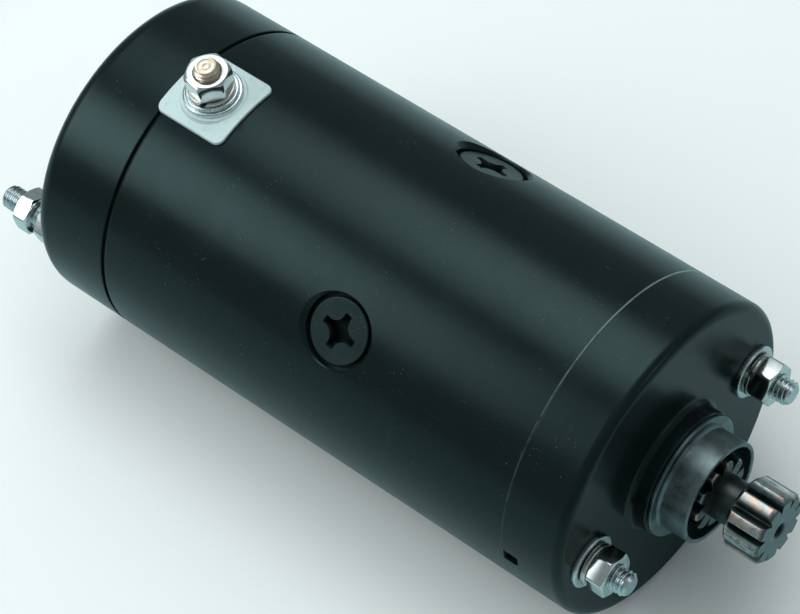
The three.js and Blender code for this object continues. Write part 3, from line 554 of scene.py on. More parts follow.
def wrapped_coil(look):
    """Varnished cotton tape, wound on the slant."""
    tape = look.bands(42, 0.6, "DIAGONAL", "SAW")
    weave = look.streaks((5200, 2400, 2400))
    color = look.mix(tape, (0.16, 0.075, 0.03), (0.33, 0.17, 0.075))
    color = look.mix(look.ramp(weave, 0.4, 0.62), color, (0.40, 0.24, 0.12))
    look.bump(tape, 0.15 * MM)
    look.bump(weave, 0.03 * MM)
    return look.surface(color, look.ramp(weave, 0.3, 0.7, 0.42, 0.62))


def copper(look, light, dark, roughness):
    """Copper or bronze, rubbed round the shaft and blotched with oxide."""
    rub = look.streaks((4600, 320, 320), 3)
    color = look.mix(look.ramp(look.noise(230, 5, 0.6), 0.32, 0.7), dark, light)
    look.bump(rub, 0.006 * MM)
    return look.surface(color, look.ramp(rub, 0.2, 0.8, roughness * 0.8, roughness * 1.3), 1.0)


def carbon(look):
    """Pressed carbon with flecks of copper."""
    fleck = look.ramp(look.noise(3000, 4, 0.7), 0.55, 0.7)
    color = look.mix(fleck, (0.030, 0.027, 0.026), (0.20, 0.12, 0.08))
    look.bump(look.noise(2600, 4), 0.02 * MM)
    return look.surface(color, look.ramp(fleck, 0, 1, 0.62, 0.4), 0.25)


# For each material slot: the recipe, then its light and dark colours and its roughness, then how
# worn and nicked a steel is, or the colour and amount of the stain on a plating.
RECIPES = {
    "black_paint": (black_enamel,),
    "black_screw": (screw_enamel,),
    "burnished_steel": (steel, (0.24, 0.30, 0.31), (0.085, 0.115, 0.12), 0.36, 0.05, 0.9),
    "pinion_steel": (worn_pinion_steel,),
    "bearing_steel": (steel, (0.46, 0.50, 0.50), (0.26, 0.29, 0.30), 0.20),
    "bearing_cage": (steel, (0.56, 0.61, 0.61), (0.34, 0.38, 0.38), 0.24),
    "pole_steel": (steel, (0.24, 0.25, 0.26), (0.12, 0.13, 0.135), 0.42),
    "spring_steel": (steel, (0.50, 0.52, 0.53), (0.32, 0.34, 0.35), 0.26),
    "plate_steel": (steel, (0.52, 0.55, 0.54), (0.34, 0.37, 0.36), 0.34),
    "zinc": (plated, (0.66, 0.74, 0.75), (0.48, 0.54, 0.55), 0.24, (0.55, 0.60, 0.68), 0.25),
    "yellow_zinc": (plated, (0.70, 0.70, 0.66), (0.46, 0.45, 0.42), 0.22, (0.66, 0.52, 0.42), 0.35),
    "bright_nut": (plated, (0.78, 0.82, 0.82), (0.58, 0.62, 0.62), 0.12, (0.74, 0.66, 0.63), 0.2),
    "copper_stud": (plated, (0.74, 0.66, 0.56), (0.58, 0.48, 0.38), 0.34, (0.72, 0.50, 0.36), 0.35),
    "copper": (copper, (0.72, 0.34, 0.19), (0.46, 0.20, 0.11), 0.32),
    "winding_copper": (copper, (0.62, 0.27, 0.13), (0.36, 0.14, 0.07), 0.42),
    "bronze": (copper, (0.56, 0.38, 0.17), (0.38, 0.24, 0.10), 0.42),
    "core_steel": (laminations,),
    "coil_wrap": (wrapped_coil,),
    "insulator_white": (nylon,),
    "seal_rubber": (rubber,),
    "carbon": (carbon,),
}
MATERIALS = {slot: recipe(Look(slot), *values) for slot, (recipe, *values) in RECIPES.items()}


# ---- putting pieces in

def adopt(node, piece):
    """Puts a finished piece in a CAD node's place, on the same body and with the same slot."""
    piece.name = node + "_piece"
    piece.data.materials.clear()
    piece.data.materials.append(MATERIALS[SLOT_OF_NODE[node]])
    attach(piece, BODY_OF_NODE[node])
    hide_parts(node)


def stand_in(node, geometry, sharp_degrees=32):
    adopt(node, make(node + "_piece", geometry, sharp_degrees))


def shifted(geometry, y):
    return moved(geometry, Matrix.Translation((0, y, 0)))


def bar_tool(x0, x1, radius, count):
    """A plain round bar along X, to cut a hole with."""
    return turned([(x0, 0, 0), (x0, radius, 0), (x1, radius, 0), (x1, 0, 0)], closed=False, count=count)


# ---- casings

CASING_COUNT = 192


def screw_angle(i):
    """The angle from +Y of the i-th pole screw."""
    node = f"pole_screw_{i}"
    return degrees(atan2(middle(node, "z"), middle(node, "y")))


def seat_tool(i):
    """The countersink for a pole screw: a narrow gap round the head and a rounded mouth."""
    shank = SCREW_SHANK_R + 0.25 * MM
    pocket = SCREW_HEAD_R + 1.1 * MM
    floor = SCREW_HEAD_TOP - 1.6 * MM
    mouth = SCREW_HEAD_R + 2.2 * MM
    inside = FRAME_BORE_R - 4 * MM
    outside = BODY_R + 3 * MM
    corners = [
        (inside, 0, 0),
        (inside, shank, 0),
        (SCREW_HEAD_TOP - 4.8 * MM, shank, 0),
        (floor, SCREW_HEAD_R - 0.88 * MM, 0.1 * MM),
        (floor, pocket, 0.1 * MM),
        (SCREW_HEAD_TOP + 0.2 * MM, pocket, 0.3 * MM),
        (BODY_R - 0.2 * MM, mouth, 1.0 * MM),
        (outside, mouth + 1.8 * MM, 0),
        (outside, 0, 0),
    ]
    geometry = turned(corners, closed=False, steps=6)
    return make("seat_tool", moved(geometry, radial_to(SCREW_X, screw_angle(i))))


def field_frame():
    corners = [
        (REAR_SEAM, FRAME_BORE_R, 0),
        (REAR_SEAM, BODY_R, 0.35 * MM),
        (FRONT_SEAM, BODY_R, 0.28 * MM),
        (FRONT_SEAM, FRAME_BORE_R, 0),
    ]
    tube = make("field_frame_piece", turned(corners, count=CASING_COUNT))
    hole_r = extent("terminal_insulator_bush", "x")[1] - TERMINAL_X - 0.9 * MM
    hole = moved(bar_tool(20 * MM, 60 * MM, hole_r, 48), radial_to(TERMINAL_X, 90))
    tools = [seat_tool(i) for i in range(1, 5)] + [make("hole_tool", hole)]
    adopt("field_frame", cut(tube, tools))


def stud_holes(nodes, x0, x1, radius):
    bar = bar_tool(x0, x1, radius, 40)
    return [make("stud_hole_tool", shifted(bar, middle(node, "y"))) for node in nodes]


def drive_end_head():
    """A deep cup over the frame's front end: spigot, rounded rim, flat face and bearing boss."""
    spigot_end = extent("drive_end_head", "x")[0]
    sleeve_bore = SLEEVE_R + 0.02 * MM
    hub_back = FACE_X - 12 * MM
    wall_back = FACE_X - 6.5 * MM
    rim = FRONT_SEAM + 0.02 * MM
    corners = [
        (spigot_end, SPIGOT_R - SPIGOT_WALL, 0),
        (spigot_end, SPIGOT_R, BROKEN_EDGE),
        (rim, SPIGOT_R, 0),
        (rim, BODY_R, 0.22 * MM),
        (FACE_X, BODY_R, 2.5 * MM),
        (FACE_X, BOSS_R, 1.8 * MM),
        (BOSS_TOP, BOSS_R, 0.7 * MM),
        (BOSS_TOP, sleeve_bore, 0.2 * MM),
        (hub_back, sleeve_bore, 0.3 * MM),
        (hub_back, BOSS_R, 1.5 * MM),
        (wall_back, BOSS_R + 1.5 * MM, 1.5 * MM),
        (wall_back, FRAME_BORE_R - 4 * MM, 2 * MM),
    ]
    head = make("drive_end_head_piece", turned(corners, steps=7, count=CASING_COUNT))
    studs = ("through_stud_1", "through_stud_2")
    tools = stud_holes(studs, spigot_end - 10 * MM, FACE_X + 10 * MM, STUD_R + 0.4 * MM)
    adopt("drive_end_head", cut(head, tools + [notch_tool()]))


def notch_tool():
    """The drain notch at the seam: a slot with rounded corners through the skirt's edge."""
    depth, width, height = 4.6 * MM, 3.9 * MM, 1.1 * MM
    bottom, top = height - width / 2, height + width / 2
    corners = [
        (FRONT_SEAM - 1 * MM, bottom, 0),
        (FRONT_SEAM + depth, bottom, 1.3 * MM),
        (FRONT_SEAM + depth, top, 0.7 * MM),
        (FRONT_SEAM - 1 * MM, top, 0),
    ]
    outline = fillet(corners, closed=True, steps=5)
    rings = [[(x, y, z) for x, z in outline] for y in (-BODY_R - 2 * MM, -SPIGOT_R - 0.3 * MM)]
    return make("notch_tool", skin(rings, capped=True))


def commutator_end_head():
    """A cap over the frame's rear end, grooved at the seam, with a hub for the bushing."""
    back, spigot_end = extent("commutator_end_head", "x")
    bushing_back, bushing_front = extent("rear_bushing", "x")
    bushing_r = extent("rear_bushing", "y")[1] + 0.02 * MM
    pocket_end = bushing_back - 0.4 * MM
    groove_back = REAR_SEAM - 1.1 * MM
    groove_r = BODY_R - 1.0 * MM
    rim = REAR_SEAM - 0.02 * MM
    step = REAR_SEAM - 2.4 * MM
    wall = back + 6 * MM
    skirt_r = SPIGOT_R - 3.4 * MM
    corners = [
        (back, 0, 0),
        (back, BODY_R, 4.6 * MM),
        (groove_back, BODY_R, 0.30 * MM),
        (groove_back, groove_r, 0.1 * MM),
        (rim, groove_r, 0),
        (rim, SPIGOT_R, 0),
        (spigot_end, SPIGOT_R, BROKEN_EDGE),
        (spigot_end, SPIGOT_R - SPIGOT_WALL, 0),
        (step, SPIGOT_R - SPIGOT_WALL, 0),
        (step, skirt_r, 0.4 * MM),
        (wall, skirt_r, 2 * MM),
        (wall, 12.5 * MM, 1.5 * MM),
        (bushing_front, 11.5 * MM, 0.6 * MM),
        (bushing_front, bushing_r, 0.3 * MM),
        (pocket_end, bushing_r, 0),
        (pocket_end, 0, 0),
    ]
    geometry = turned(corners, closed=False, steps=8, count=CASING_COUNT)
    head = make("commutator_end_head_piece", geometry)
    end = extent("rear_stud_1", "x")[1] + 0.3 * MM
    tools = stud_holes(("rear_stud_1", "rear_stud_2"), back - 5 * MM, end, STUD_R + 0.05 * MM)
    adopt("commutator_end_head", cut(head, tools))


def pilot_sleeve():
    """A bare turned tube with a thin flange that lies on the boss, and a step at its root."""
    back, front = extent("pilot_sleeve", "x")
    flange_r = extent("pilot_sleeve", "y")[1]
    flange_back = BOSS_TOP + 0.05 * MM
    flange_front = flange_back + 1.1 * MM
    bore = CUP_R + 0.02 * MM
    corners = [
        (back, bore, 0.2 * MM),
        (back, SLEEVE_R, 0.3 * MM),
        (flange_back, SLEEVE_R, 0),
        (flange_back, flange_r, 0.3 * MM),
        (flange_front, flange_r, 0.3 * MM),
        (flange_front, SLEEVE_R + 0.65 * MM, 0.08 * MM),
        (flange_front + 0.28 * MM, SLEEVE_R + 0.50 * MM, 0.10 * MM),
        (flange_front + 0.60 * MM, SLEEVE_R, 0.25 * MM),
        (front, SLEEVE_R, 0.28 * MM),
        (front, bore, 0.30 * MM),
    ]
    stand_in("pilot_sleeve", turned(corners, steps=5, count=144))


# ---- bearing and seal

def needle_cup():
    """A drawn steel cup with both ends rolled in over the needles."""
    back, front = extent("needle_bearing_cup", "x")
    lip = FRONT_JOURNAL_R + 0.45 * MM
    race = CUP_R - 0.9 * MM
    end = 0.7 * MM
    corners = [
        (back, lip, 0.2 * MM),
        (back, CUP_R, 0.8 * MM),
        (front, CUP_R, 0.8 * MM),
        (front, lip, 0.2 * MM),
        (front - end, lip, 0.2 * MM),
        (front - end, race, 0.4 * MM),
        (back + end, race, 0.4 * MM),
        (back + end, lip, 0.2 * MM),
    ]
    stand_in("needle_bearing_cup", turned(corners, count=120))


def rectangle(u0, u1, v0, v1, radius):
    """Corners for fillet, all with one radius."""
    return [(u0, v0, radius), (u0, v1, radius), (u1, v1, radius), (u1, v0, radius)]


def needle_set():
    """Round-ended needles in a thin pressed cage: two end rings and a bar between needles."""
    back, front = extent("needle_bearing_rollers", "x")
    half = 0.3 * MM
    ring = 0.9 * MM
    parts = []
    for x0, x1 in ((back, back + ring), (front - ring, front)):
        corners = rectangle(x0, x1, NEEDLE_PITCH_R - half, NEEDLE_PITCH_R + half, 0.1 * MM)
        parts.append(turned(corners, count=108))
    needle_back, needle_front = back + ring / 2, front - ring / 2
    needle = turned([
        (needle_back, 0, 0),
        (needle_back, NEEDLE_R, 0.35 * MM),
        (needle_front, NEEDLE_R, 0.35 * MM),
        (needle_front, 0, 0),
    ], closed=False, count=24)
    outline = fillet(rectangle(-0.45 * MM, 0.45 * MM, -half, half, 0.1 * MM), closed=True)
    bar_ends = (back + ring * 0.8, front - ring * 0.8)
    bar = skin([[(x, v, u) for u, v in outline] for x in bar_ends], capped=True)
    out = Matrix.Translation((0, NEEDLE_PITCH_R, 0))
    pitch = 360 / NEEDLE_COUNT
    for k in range(NEEDLE_COUNT):
        parts.append(moved(needle, about_x(pitch * k) @ out))
        parts.append(moved(bar, about_x(pitch * (k + 0.5)) @ out))
    stand_in("needle_bearing_rollers", joined(*parts))


def oil_seal():
    """A rubber ring whose lip runs on the journal, with a groove for its garter in front."""
    back, front = extent("oil_seal", "x")
    outer = extent("oil_seal", "y")[1]
    lip = FRONT_JOURNAL_R + 0.09 * MM
    corners = [
        (back, lip + 1.8 * MM, 0.3 * MM),
        (back, outer, 0.4 * MM),
        (front, outer, 0.4 * MM),
        (front, lip + 2.2 * MM, 0.2 * MM),
        (front - 0.5 * MM, lip + 2.0 * MM, 0.2 * MM),
        (front - 0.5 * MM, lip + 1.3 * MM, 0.2 * MM),
        (front, lip + 1.0 * MM, 0.2 * MM),
        (front - 2.0 * MM, lip, 0.25 * MM),
        (front - 3.5 * MM, lip, 0.25 * MM),
        (front - 4.0 * MM, lip + 1.8 * MM, 0.4 * MM),
    ]
    stand_in("oil_seal", turned(corners))


# ---- shaft and pinion

TOOTH_PITCH = FULL_TURN / TEETH


def involute(radius):
    roll = sqrt(max((radius / BASE_R) ** 2 - 1, 0))
    return roll - atan(roll)


def half_tooth(radius):
    """Half the tooth's angle at a radius."""
    return TIP_HALF + involute(TIP_R) - involute(radius)


def tooth_radius(angle):
    """The tooth outline's radius at an angle: involute flanks, a rounded root and tip."""
    off = abs((angle - FIRST_TOOTH + TOOTH_PITCH / 2) % TOOTH_PITCH - TOOTH_PITCH / 2)
    tip_drop = 0.10 * MM
    foot = half_tooth(BASE_R)
    if off <= TIP_HALF:
        return TIP_R - tip_drop * (off / TIP_HALF) ** 8
    if off <= foot:
        low, high = BASE_R, TIP_R
        for _ in range(24):
            between = (low + high) / 2
            low, high = (between, high) if half_tooth(between) > off else (low, between)
        return min(low, TIP_R - tip_drop)
    share = (off - foot) / (TOOTH_PITCH / 2 - foot)
    return ROOT_R + (BASE_R - ROOT_R) * (1 - share) ** 2.6


def tooth_angles():
    """Sample angles all the way round, crowded where the outline turns fast."""
    foot = half_tooth(BASE_R)
    tip = [TIP_HALF * share for share in (0.3, 0.6, 0.8, 0.92, 1.0)]
    flank = [TIP_HALF + (foot - TIP_HALF) * k / 8 for k in range(1, 9)]
    root = [foot + (TOOTH_PITCH / 2 - foot) * k / 8 for k in range(1, 8)]
    half = tip + flank + root
    one_tooth = sorted([-h for h in half] + [0] + half + [TOOTH_PITCH / 2])
    return [FIRST_TOOTH + TOOTH_PITCH * t + a for t in range(TEETH) for a in one_tooth]


ANGLES = tooth_angles()


def toothed_rings(start, end, chamfer):
    """Rings of a toothed length, with the tooth tips turned down to a cone at each end."""
    low = TIP_R - chamfer
    soft = 0.15 * MM

    def ring(x, limit, inset=0.0):
        return [polar(x, min(tooth_radius(a) - inset, limit), a) for a in ANGLES]

    cone = [soft + (chamfer - soft) * k / 5 for k in range(1, 6)]
    return [
        pole(start),
        ring(start, low - soft, soft),
        ring(start + soft * 0.4, low - soft * 0.4, soft * 0.3),
        *[ring(start + c, low + c) for c in cone],
        *[ring(end - c, low + c) for c in reversed(cone)],
        ring(end - soft * 0.4, low - soft * 0.4, soft * 0.3),
        ring(end, low - soft, soft),
    ]


def pinion():
    """The pinion, with a lathe centre hole in its end."""
    rings = toothed_rings(PINION_BACK, SHAFT_FRONT, 1.15 * MM)
    for r, depth in ((5.6, 0), (4.2, 0), (2.45, 0.03), (2.2, 0.15), (1.1, 1.5), (0.95, 2.6)):
        rings.append([polar(SHAFT_FRONT - depth * MM, r * MM, a) for a in ANGLES])
    rings.append(pole(SHAFT_FRONT - 3.0 * MM))
    return make("pinion", skin(rings), 28)


def inner_teeth():
    rings = toothed_rings(INNER_TEETH_BACK, INNER_TEETH_FRONT, 0.5 * MM)
    return make("inner_teeth", skin(rings + [pole(INNER_TEETH_FRONT)]), 28)


def armature_shaft():
    """The plain shaft with its journals, joined with both toothed lengths."""
    journal_back = FACE_X - 11 * MM
    journal_front = FACE_X + 9 * MM
    journal_r = 5.0 * MM
    shaft_r = 7.2 * MM
    shoulder = extent("thrust_washer", "x")[1] + 0.1 * MM
    neck_end = PINION_BACK + 0.5 * MM
    corners = [
        (SHAFT_BACK, 0, 0),
        (SHAFT_BACK, journal_r, 0.6 * MM),
        (shoulder, journal_r, 0.2 * MM),
        (shoulder, shaft_r, 0.3 * MM),
        (journal_back - 0.6 * MM, shaft_r, 0.4 * MM),
        (journal_back, FRONT_JOURNAL_R, 0.3 * MM),
        (journal_front, FRONT_JOURNAL_R, 0.3 * MM),
        (journal_front, NECK_R, 0),
        (neck_end, NECK_R, 0),
        (neck_end, 0, 0),
    ]
    spindle = make("spindle", turned(corners, closed=False, steps=3))
    for toothed in (pinion(), inner_teeth()):
        combined(spindle, [toothed], "UNION")
    crisp(spindle, 30)
    adopt("armature_shaft", spindle)


# ---- fasteners

THREAD_PITCH = 1.27 * MM
THREAD_DEPTH = 0.72 * MM
NUT_FLATS = 11.0 * MM


def thread_radius(x, angle, crest):
    """A rolled thread's radius: narrow flat crest, rounded root, 20 to the inch."""
    phase = (x / THREAD_PITCH - angle / FULL_TURN) % 1.0
    from_root = abs(phase - 0.5) * 2
    level = min(max((from_root - 0.10) / 0.72, 0.0), 1.0)
    level = level * level * (3 - 2 * level) * 0.35 + level * 0.65
    return crest - THREAD_DEPTH * (1 - level)


def stud_rings(x0, x1, threads, chamfer0, chamfer1):
    """Rings of a stud between chamfered ends. threads lists its threaded (start, end) stretches."""
    step = THREAD_PITCH / 14
    run_out = 1.2 * MM
    blank = STUD_R - THREAD_DEPTH * 0.45
    stations = {x0, x0 + 0.12 * MM, x1 - 0.12 * MM, x1}
    for start, end in threads:
        steps = int((end - start) / step)
        stations.update(start + (end - start) * k / steps for k in range(steps + 1))

    def radius(x, angle):
        r = blank
        for start, end in threads:
            if start <= x <= end:
                from_start = x - start if start > x0 else run_out
                from_end = end - x if end < x1 else run_out
                depth = min(from_start / run_out, from_end / run_out, 1.0)
                r = blank + (thread_radius(x, angle, STUD_R) - blank) * depth
        return min(r, STUD_R - chamfer0 + (x - x0), STUD_R - chamfer1 + (x1 - x))

    rings = [[polar(x, radius(x, a), a) for a in round_angles(40)] for x in sorted(stations)]
    return [pole(x0), *rings, pole(x1)]


def hex_nut(x0, x1, turn):
    """A hexagon nut on the X axis: chamfered corners, washer-faced ends, countersunk bore."""
    bore = STUD_R - 0.1 * MM
    countersink = 0.55 * MM
    flat_r = NUT_FLATS / 2
    washer_r = flat_r * 0.965
    corner_r = flat_r / cos(pi / 6) - 0.12 * MM

    def profile(angle):
        from_corner = abs((angle - radians(turn) + pi / 6) % (pi / 3) - pi / 6)
        side = min(flat_r / cos(pi / 6 - from_corner), corner_r)
        drop = max((side - washer_r) * tan(radians(30)), 0.05 * MM)
        corners = [
            (x0 + countersink, bore, 0.1 * MM),
            (x0, bore + countersink, 0.08 * MM),
            (x0, washer_r, 0.12 * MM),
            (x0 + drop, side, 0.16 * MM),
            (x1 - drop, side, 0.16 * MM),
            (x1, washer_r, 0.12 * MM),
            (x1, bore + countersink, 0.08 * MM),
            (x1 - countersink, bore, 0.1 * MM),
        ]
        return fillet(corners, closed=True, steps=3)

    return turned_by_angle(profile, 144)


def split_washer(x0, x1, inner, outer, gap_degrees, turn):
    """A spring lock washer: a square wire ring with a slanted gap, its ends a little out of line."""
    count = 90
    spring = 0.30 * MM
    thick = x1 - x0 - spring
    section = fillet([
        (0, inner, 0.15 * MM),
        (thick, inner, 0.15 * MM),
        (thick, outer, 0.22 * MM),
        (0, outer, 0.22 * MM),
    ], closed=True, steps=3)

    def ring(share):
        along = radians(turn + gap_degrees / 2 + (360 - gap_degrees) * share)
        slant = radians(9)
        return [polar(x0 + x + spring * share, r, along + slant * (x / thick - 0.5)) for x, r in section]

    return skin([ring(i / count) for i in range(count + 1)], capped=True)


def flat_washer(x0, x1, inner, outer):
    """A punched washer: rolled edge on one side, sharper edges on the other."""
    return turned([
        (x0, inner, 0.15 * MM),
        (x0, outer, 0.15 * MM),
        (x1, outer, 0.45 * MM),
        (x1, inner, 0.25 * MM),
    ], steps=5)


def front_stack(i, nut_turn, gap_turn):
    """A through stud with its flat washer, lock washer and nut at the drive end."""
    stud, washer = f"through_stud_{i}", f"front_washer_{i}"
    lock_washer, nut = f"front_lock_washer_{i}", f"front_nut_{i}"
    y = middle(washer, "y")
    washer_r = extent(washer, "y")[1] - y
    stand_in(washer, shifted(flat_washer(*extent(washer, "x"), STUD_R + 0.3 * MM, washer_r), y))
    spring_r = extent(lock_washer, "z")[1]
    spring = split_washer(*extent(lock_washer, "x"), STUD_R + 0.2 * MM, spring_r, 14, gap_turn)
    stand_in(lock_washer, shifted(spring, y))
    stand_in(nut, shifted(hex_nut(*extent(nut, "x"), nut_turn), y))
    back, front = extent(stud, "x")
    threads = [(back, back + 16 * MM), (FACE_X - 1 * MM, front)]
    stand_in(stud, shifted(skin(stud_rings(back, front, threads, 0.8 * MM, 0.95 * MM)), y), 40)


def rear_stack(i):
    """A rear stud with its clamp nut and outer nut."""
    stud = f"rear_stud_{i}"
    y = middle(stud, "y")
    back, front = extent(stud, "x")
    rings = stud_rings(back, front, [(back, front)], 0.95 * MM, 0.8 * MM)
    stand_in(stud, shifted(skin(rings), y), 40)
    for nut, turn in ((f"rear_clamp_nut_{i}", 41), (f"rear_bracket_nut_{i}", 33)):
        stand_in(nut, shifted(hex_nut(*extent(nut, "x"), turn), y))


def pole_screw(i):
    """A flat-head screw with a cross recess, painted with the frame."""
    tip = FRAME_BORE_R - 6.35 * MM
    head_edge = SCREW_HEAD_TOP - 0.6 * MM
    corners = [
        (tip, 0, 0),
        (tip, SCREW_SHANK_R, 0.5 * MM),
        (head_edge - (SCREW_HEAD_R - SCREW_SHANK_R), SCREW_SHANK_R, 0.2 * MM),
        (head_edge, SCREW_HEAD_R, 0.2 * MM),
        (SCREW_HEAD_TOP, SCREW_HEAD_R, 0.35 * MM),
        (SCREW_HEAD_TOP, 0, 0),
    ]
    outward = radial_to(SCREW_X, screw_angle(i))
    screw = make("screw", moved(turned(corners, closed=False, steps=5), outward))
    cut(screw, [make("recess_tool", moved(recess(), outward))])
    adopt(f"pole_screw_{i}", screw)


def recess():
    """The cross: square-ended wings joined by hollow curves, narrowing towards the floor."""
    turn_of_cross = 12
    rings = []
    for drop, inset in ((-1.0, 0), (0.15, 0), (1.2, 0.12), (2.4, 0.25), (3.0, 0.6)):
        half_width = (1.08 - inset * 0.45) * MM
        reach = (5.2 - inset * 1.6) * MM
        blunt = reach - 0.25 * MM
        waist = (2.8 - inset * 0.7) * MM
        centre = (waist - half_width) / (sqrt(2) - 1)
        sweep = [radians(t) for t in range(-90, -181, -10)]
        hollow = [(centre + (centre - half_width) * cos(t), centre + (centre - half_width) * sin(t))
                  for t in sweep]
        wing = [(blunt, -half_width), (reach, -half_width * 0.75),
                (reach, half_width * 0.75), (blunt, half_width), *hollow]
        ring = []
        for k in range(4):
            turn = radians(turn_of_cross + 90 * k)
            for u, v in wing:
                along_x = u * cos(turn) - v * sin(turn)
                around = u * sin(turn) + v * cos(turn)
                ring.append((SCREW_HEAD_TOP - drop * MM, -around, -along_x))
        rings.append(ring)
    return skin(rings, capped=True)


# ---- terminal

def upright(geometry):
    """Carries a shape built along +X to stand along +Z through the terminal."""
    return moved(geometry, radial_to(TERMINAL_X, 90))


def square(half, corner):
    """Corners for fillet, anticlockwise from the lower left."""
    return [(-half, -half, corner), (half, -half, corner), (half, half, corner), (-half, half, corner)]


def insulator_plate():
    """The moulded plate: curved to the frame, square in plan, with a round pad in the middle."""
    low_x, high_x = extent("terminal_insulator_plate", "x")
    pad_z = extent("terminal_insulator_plate", "z")[1]
    half = (high_x - low_x) / 2
    top_r = BODY_R + 1.05 * MM
    under_r = BODY_R + 0.05 * MM
    hole = STUD_R + 0.1 * MM
    coarse = fillet(square(half, 2.3 * MM), closed=True, steps=7)
    outline = []
    for (u, v), (next_u, next_v) in zip(coarse, coarse[1:] + coarse[:1]):
        pieces = max(1, round(hypot(next_u - u, next_v - v) / (1.0 * MM)))
        shares = [s / pieces for s in range(pieces)]
        outline.extend((u + (next_u - u) * share, v + (next_v - v) * share) for share in shares)

    def plan(inset, radius, lift=0.0):
        """The square outline, drawn in by an inset and laid on a cylinder."""
        scale = 1 - inset / half
        return [(TERMINAL_X + u * scale, v * scale, sqrt(radius ** 2 - (v * scale) ** 2) + lift)
                for u, v in outline]

    def disc(r, height, blend=0.0):
        """A circle, flat at a height or blended into the plate's curved top."""
        ring = []
        for u, v in outline:
            angle = atan2(v, u)
            y = r * sin(angle)
            curved = sqrt(top_r ** 2 - y ** 2)
            ring.append((TERMINAL_X + r * cos(angle), y, height + (curved - height) * blend))
        return ring

    rings = [
        disc(hole, under_r - 1.2 * MM),
        disc(hole, pad_z - 0.2 * MM),
        disc(hole + 0.2 * MM, pad_z),
        disc(8.40 * MM, pad_z),
        disc(8.60 * MM, pad_z - 0.05 * MM),
        disc(8.75 * MM, pad_z, 0.7),
        disc(9.00 * MM, pad_z, 1.0),
        plan(1.6 * MM, top_r),
        plan(0.35 * MM, top_r),
        plan(0.10 * MM, top_r, -0.10 * MM),
        plan(0, top_r, -0.35 * MM),
        plan(0, under_r, 0.2 * MM),
        plan(0.15 * MM, under_r),
        plan(3 * MM, under_r),
    ]
    stand_in("terminal_insulator_plate", skin(rings, closed=True))


def terminal_stack():
    """The washers and the nut on the terminal stud."""
    bore = STUD_R + 0.15 * MM
    outer = {node: extent(node, "x")[1] - TERMINAL_X
             for node in ("terminal_washer", "terminal_upper_washer", "terminal_lock_washer")}
    for node in ("terminal_washer", "terminal_upper_washer"):
        stand_in(node, upright(flat_washer(*extent(node, "z"), bore, outer[node])))
    node = "terminal_lock_washer"
    stand_in(node, upright(split_washer(*extent(node, "z"), bore, outer[node], 12, 200)))
    stand_in("terminal_nut", upright(hex_nut(*extent("terminal_nut", "z"), 20)))


def terminal_stud():
    """A square-headed stud, threaded to its tip, with a shallow ring mark in its end."""
    bottom, tip = extent("terminal_stud", "z")
    half = extent("terminal_stud", "x")[1] - TERMINAL_X
    head_top = bottom + 3.5 * MM
    thread = (head_top - 0.3 * MM, tip)
    rings = stud_rings(*thread, [thread], 0.1 * MM, 0.7 * MM)
    rim = rings[-2]
    marks = ((0.92, 0), (0.86, 0.05), (0.80, 0), (0.40, 0), (0.34, 0.05), (0.28, 0))
    end = [[(tip - sink * MM, y * share, z * share) for _, y, z in rim] for share, sink in marks]
    outline = fillet(square(half, 0.6 * MM), closed=True)
    edge = 0.25 * MM
    levels = [(bottom, edge), (bottom + edge, 0), (head_top - edge, 0), (head_top, edge)]
    head = [[(x, u * (1 - inset / half), v * (1 - inset / half)) for u, v in outline] for x, inset in levels]
    shank = skin(rings[:-1] + end + rings[-1:])
    stand_in("terminal_stud", upright(joined(skin(head, capped=True), shank)), 40)


# ---- inner parts

def keep_cad_nodes():
    """Inner parts keep their CAD shape, with broken edges and their own materials."""
    for node, obj in frame["nodes"].items():
        obj.data.materials.clear()
        obj.data.materials.append(MATERIALS[SLOT_OF_NODE[node]])
        if obj.hide_render:
            continue
        bevel = obj.modifiers.new("broken edges", "BEVEL")
        bevel.width = 0.25 * MM
        bevel.segments = 2
        bevel.limit_method = "ANGLE"
        bevel.angle_limit = radians(50)


# ---- stage

MODEL_MIDDLE = (cad_bounds[0] + cad_bounds[1]) / 2


def area_light(name, offset, width, height, power):
    """A rectangle facing the motor, with its width running along it."""
    data = bpy.data.lights.new(name, "AREA")
    data.shape = "RECTANGLE"
    data.size, data.size_y = width, height
    data.energy = power
    data.color = (0.93, 1.0, 1.0)
    light = bpy.data.objects.new(name, data)
    bpy.context.scene.collection.objects.link(light)
    away = Vector(offset).normalized()
    lengthways = (Vector((1, 0, 0)) - away * away.x).normalized()
    turn = Matrix((lengthways, away.cross(lengthways), away)).transposed()
    light.matrix_world = Matrix.Translation(MODEL_MIDDLE + Vector(offset)) @ turn.to_4x4()
    return light


def soften(light, along_power):
    """Fades a light from its middle to its edges, faster along its width with a higher power."""
    light.data.use_nodes = True
    look = Tree(light.data.node_tree)
    place = look.add("ShaderNodeNewGeometry").outputs["Parametric"]
    split = look.add("ShaderNodeSeparateXYZ")
    look.put(split.inputs["Vector"], place)
    fades = []
    for axis, power in (("X", along_power), ("Y", 1.0)):
        share = split.outputs[axis]
        arch = look.times(share, look.math("MULTIPLY_ADD", share, -4.0, 4.0))
        fades.append(look.math("POWER", arch, power))
    look.put(look.tree.nodes["Emission"].inputs["Strength"], look.times(*fades))


def world():
    """The dim cool light of the room."""
    room = bpy.data.worlds.new("studio")
    bpy.context.scene.world = room
    room.use_nodes = True
    background = room.node_tree.nodes["Background"]
    background.inputs["Color"].default_value = (0.82, 0.97, 1.0, 1)
    background.inputs["Strength"].default_value = 0.28


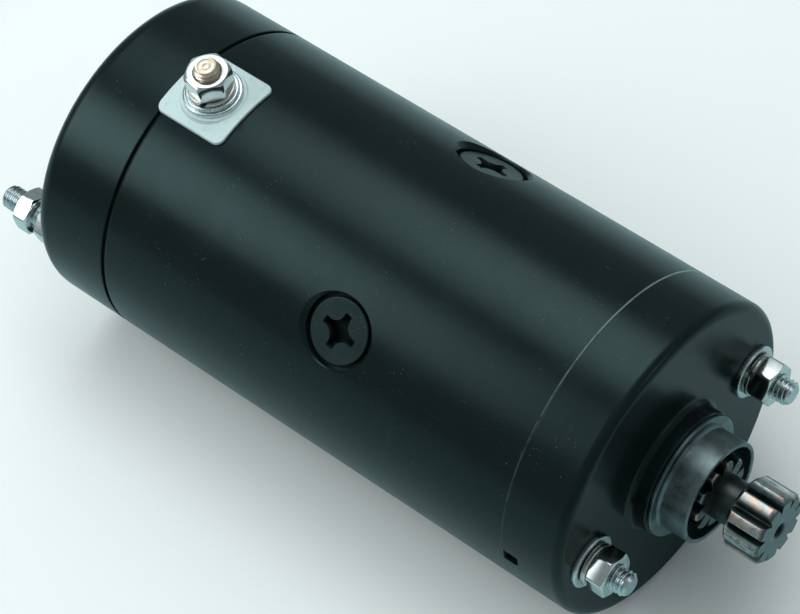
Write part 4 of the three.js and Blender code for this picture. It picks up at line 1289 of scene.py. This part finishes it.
def table_top():
    """A pale table top with a painted falloff that greys it with distance, and a painted reflection tone,
    darker and cooler, where it is seen in reflections.
    """
    half = 1.4
    low = -BODY_R - 0.3 * MM
    corners = [(x, y, low) for x, y, _ in square(half, 0)]
    top = make("floor", (corners, [(0, 1, 2, 3)]))
    look = Look("floor_paper")
    tone = look.mix(look.noise(3, 3), (0.84, 0.85, 0.85), (0.87, 0.88, 0.88))
    # Painted falloff: the top greys away from the motor, which also dims its reflection in the casing.
    tone = look.mix(look.ramp(look.reach("XY"), 0.18, 0.52), tone, (0.34, 0.36, 0.36))
    # Painted reflection: glossy rays see a darker, cooler tone than the camera does.
    in_reflections = look.add("ShaderNodeLightPath").outputs["Is Glossy Ray"]
    tone = look.mix(in_reflections, tone, (0.44, 0.60, 0.61))
    look.bump(look.noise(900, 3), 0.01 * MM)
    top.data.materials.append(look.surface(tone, 0.85, 0.0, {"Specular IOR Level": 0.1}))


def lights():
    """Four soft lights. The overhead one doesn't show in the paint."""
    area_light("overhead", (0.1, 0.0, 1.3), 1.1, 1.1, 7).visible_glossy = False
    soften(area_light("front", (-0.33, 0.35, 0.98), 1.0, 1.0, 12), 2.0)
    soften(area_light("side", (-0.82, -0.60, 0.81), 1.1, 1.0, 18), 1.5)
    soften(area_light("face", (1.1, 0.45, 0.5), 0.5, 0.5, 1.2), 1.0)


def camera():
    """Looks down at the motor from beyond its pinion end, with a slight roll."""
    azimuth, elevation, roll = (radians(d) for d in (-39.0, 55.605, -13.54))
    distance = 0.8195
    aim = Vector((0.53, -3.10, 0.30)) * MM
    outward = Vector((cos(elevation) * cos(azimuth), cos(elevation) * sin(azimuth),
                      sin(elevation)))
    data = bpy.data.cameras.new("camera")
    data.sensor_width = 36
    data.lens = 142.9
    data.clip_start = 0.01
    eye = bpy.data.objects.new("camera", data)
    bpy.context.scene.collection.objects.link(eye)
    turn = (-outward).to_track_quat("-Z", "Y").to_matrix().to_4x4()
    eye.matrix_world = Matrix.Translation(aim + outward * distance) @ turn @ Matrix.Rotation(roll, 4, "Z")
    bpy.context.scene.camera = eye
    bpy.context.scene.view_settings.view_transform = "Standard"


# ---- everything in its place

field_frame()
drive_end_head()
commutator_end_head()
pilot_sleeve()
needle_cup()
needle_set()
oil_seal()
armature_shaft()
front_stack(1, 53, 120)
front_stack(2, 35, 200)
for number in (1, 2):
    rear_stack(number)
for number in range(1, 5):
    pole_screw(number)
insulator_plate()
terminal_stack()
terminal_stud()
keep_cad_nodes()
world()
table_top()
lights()
camera()
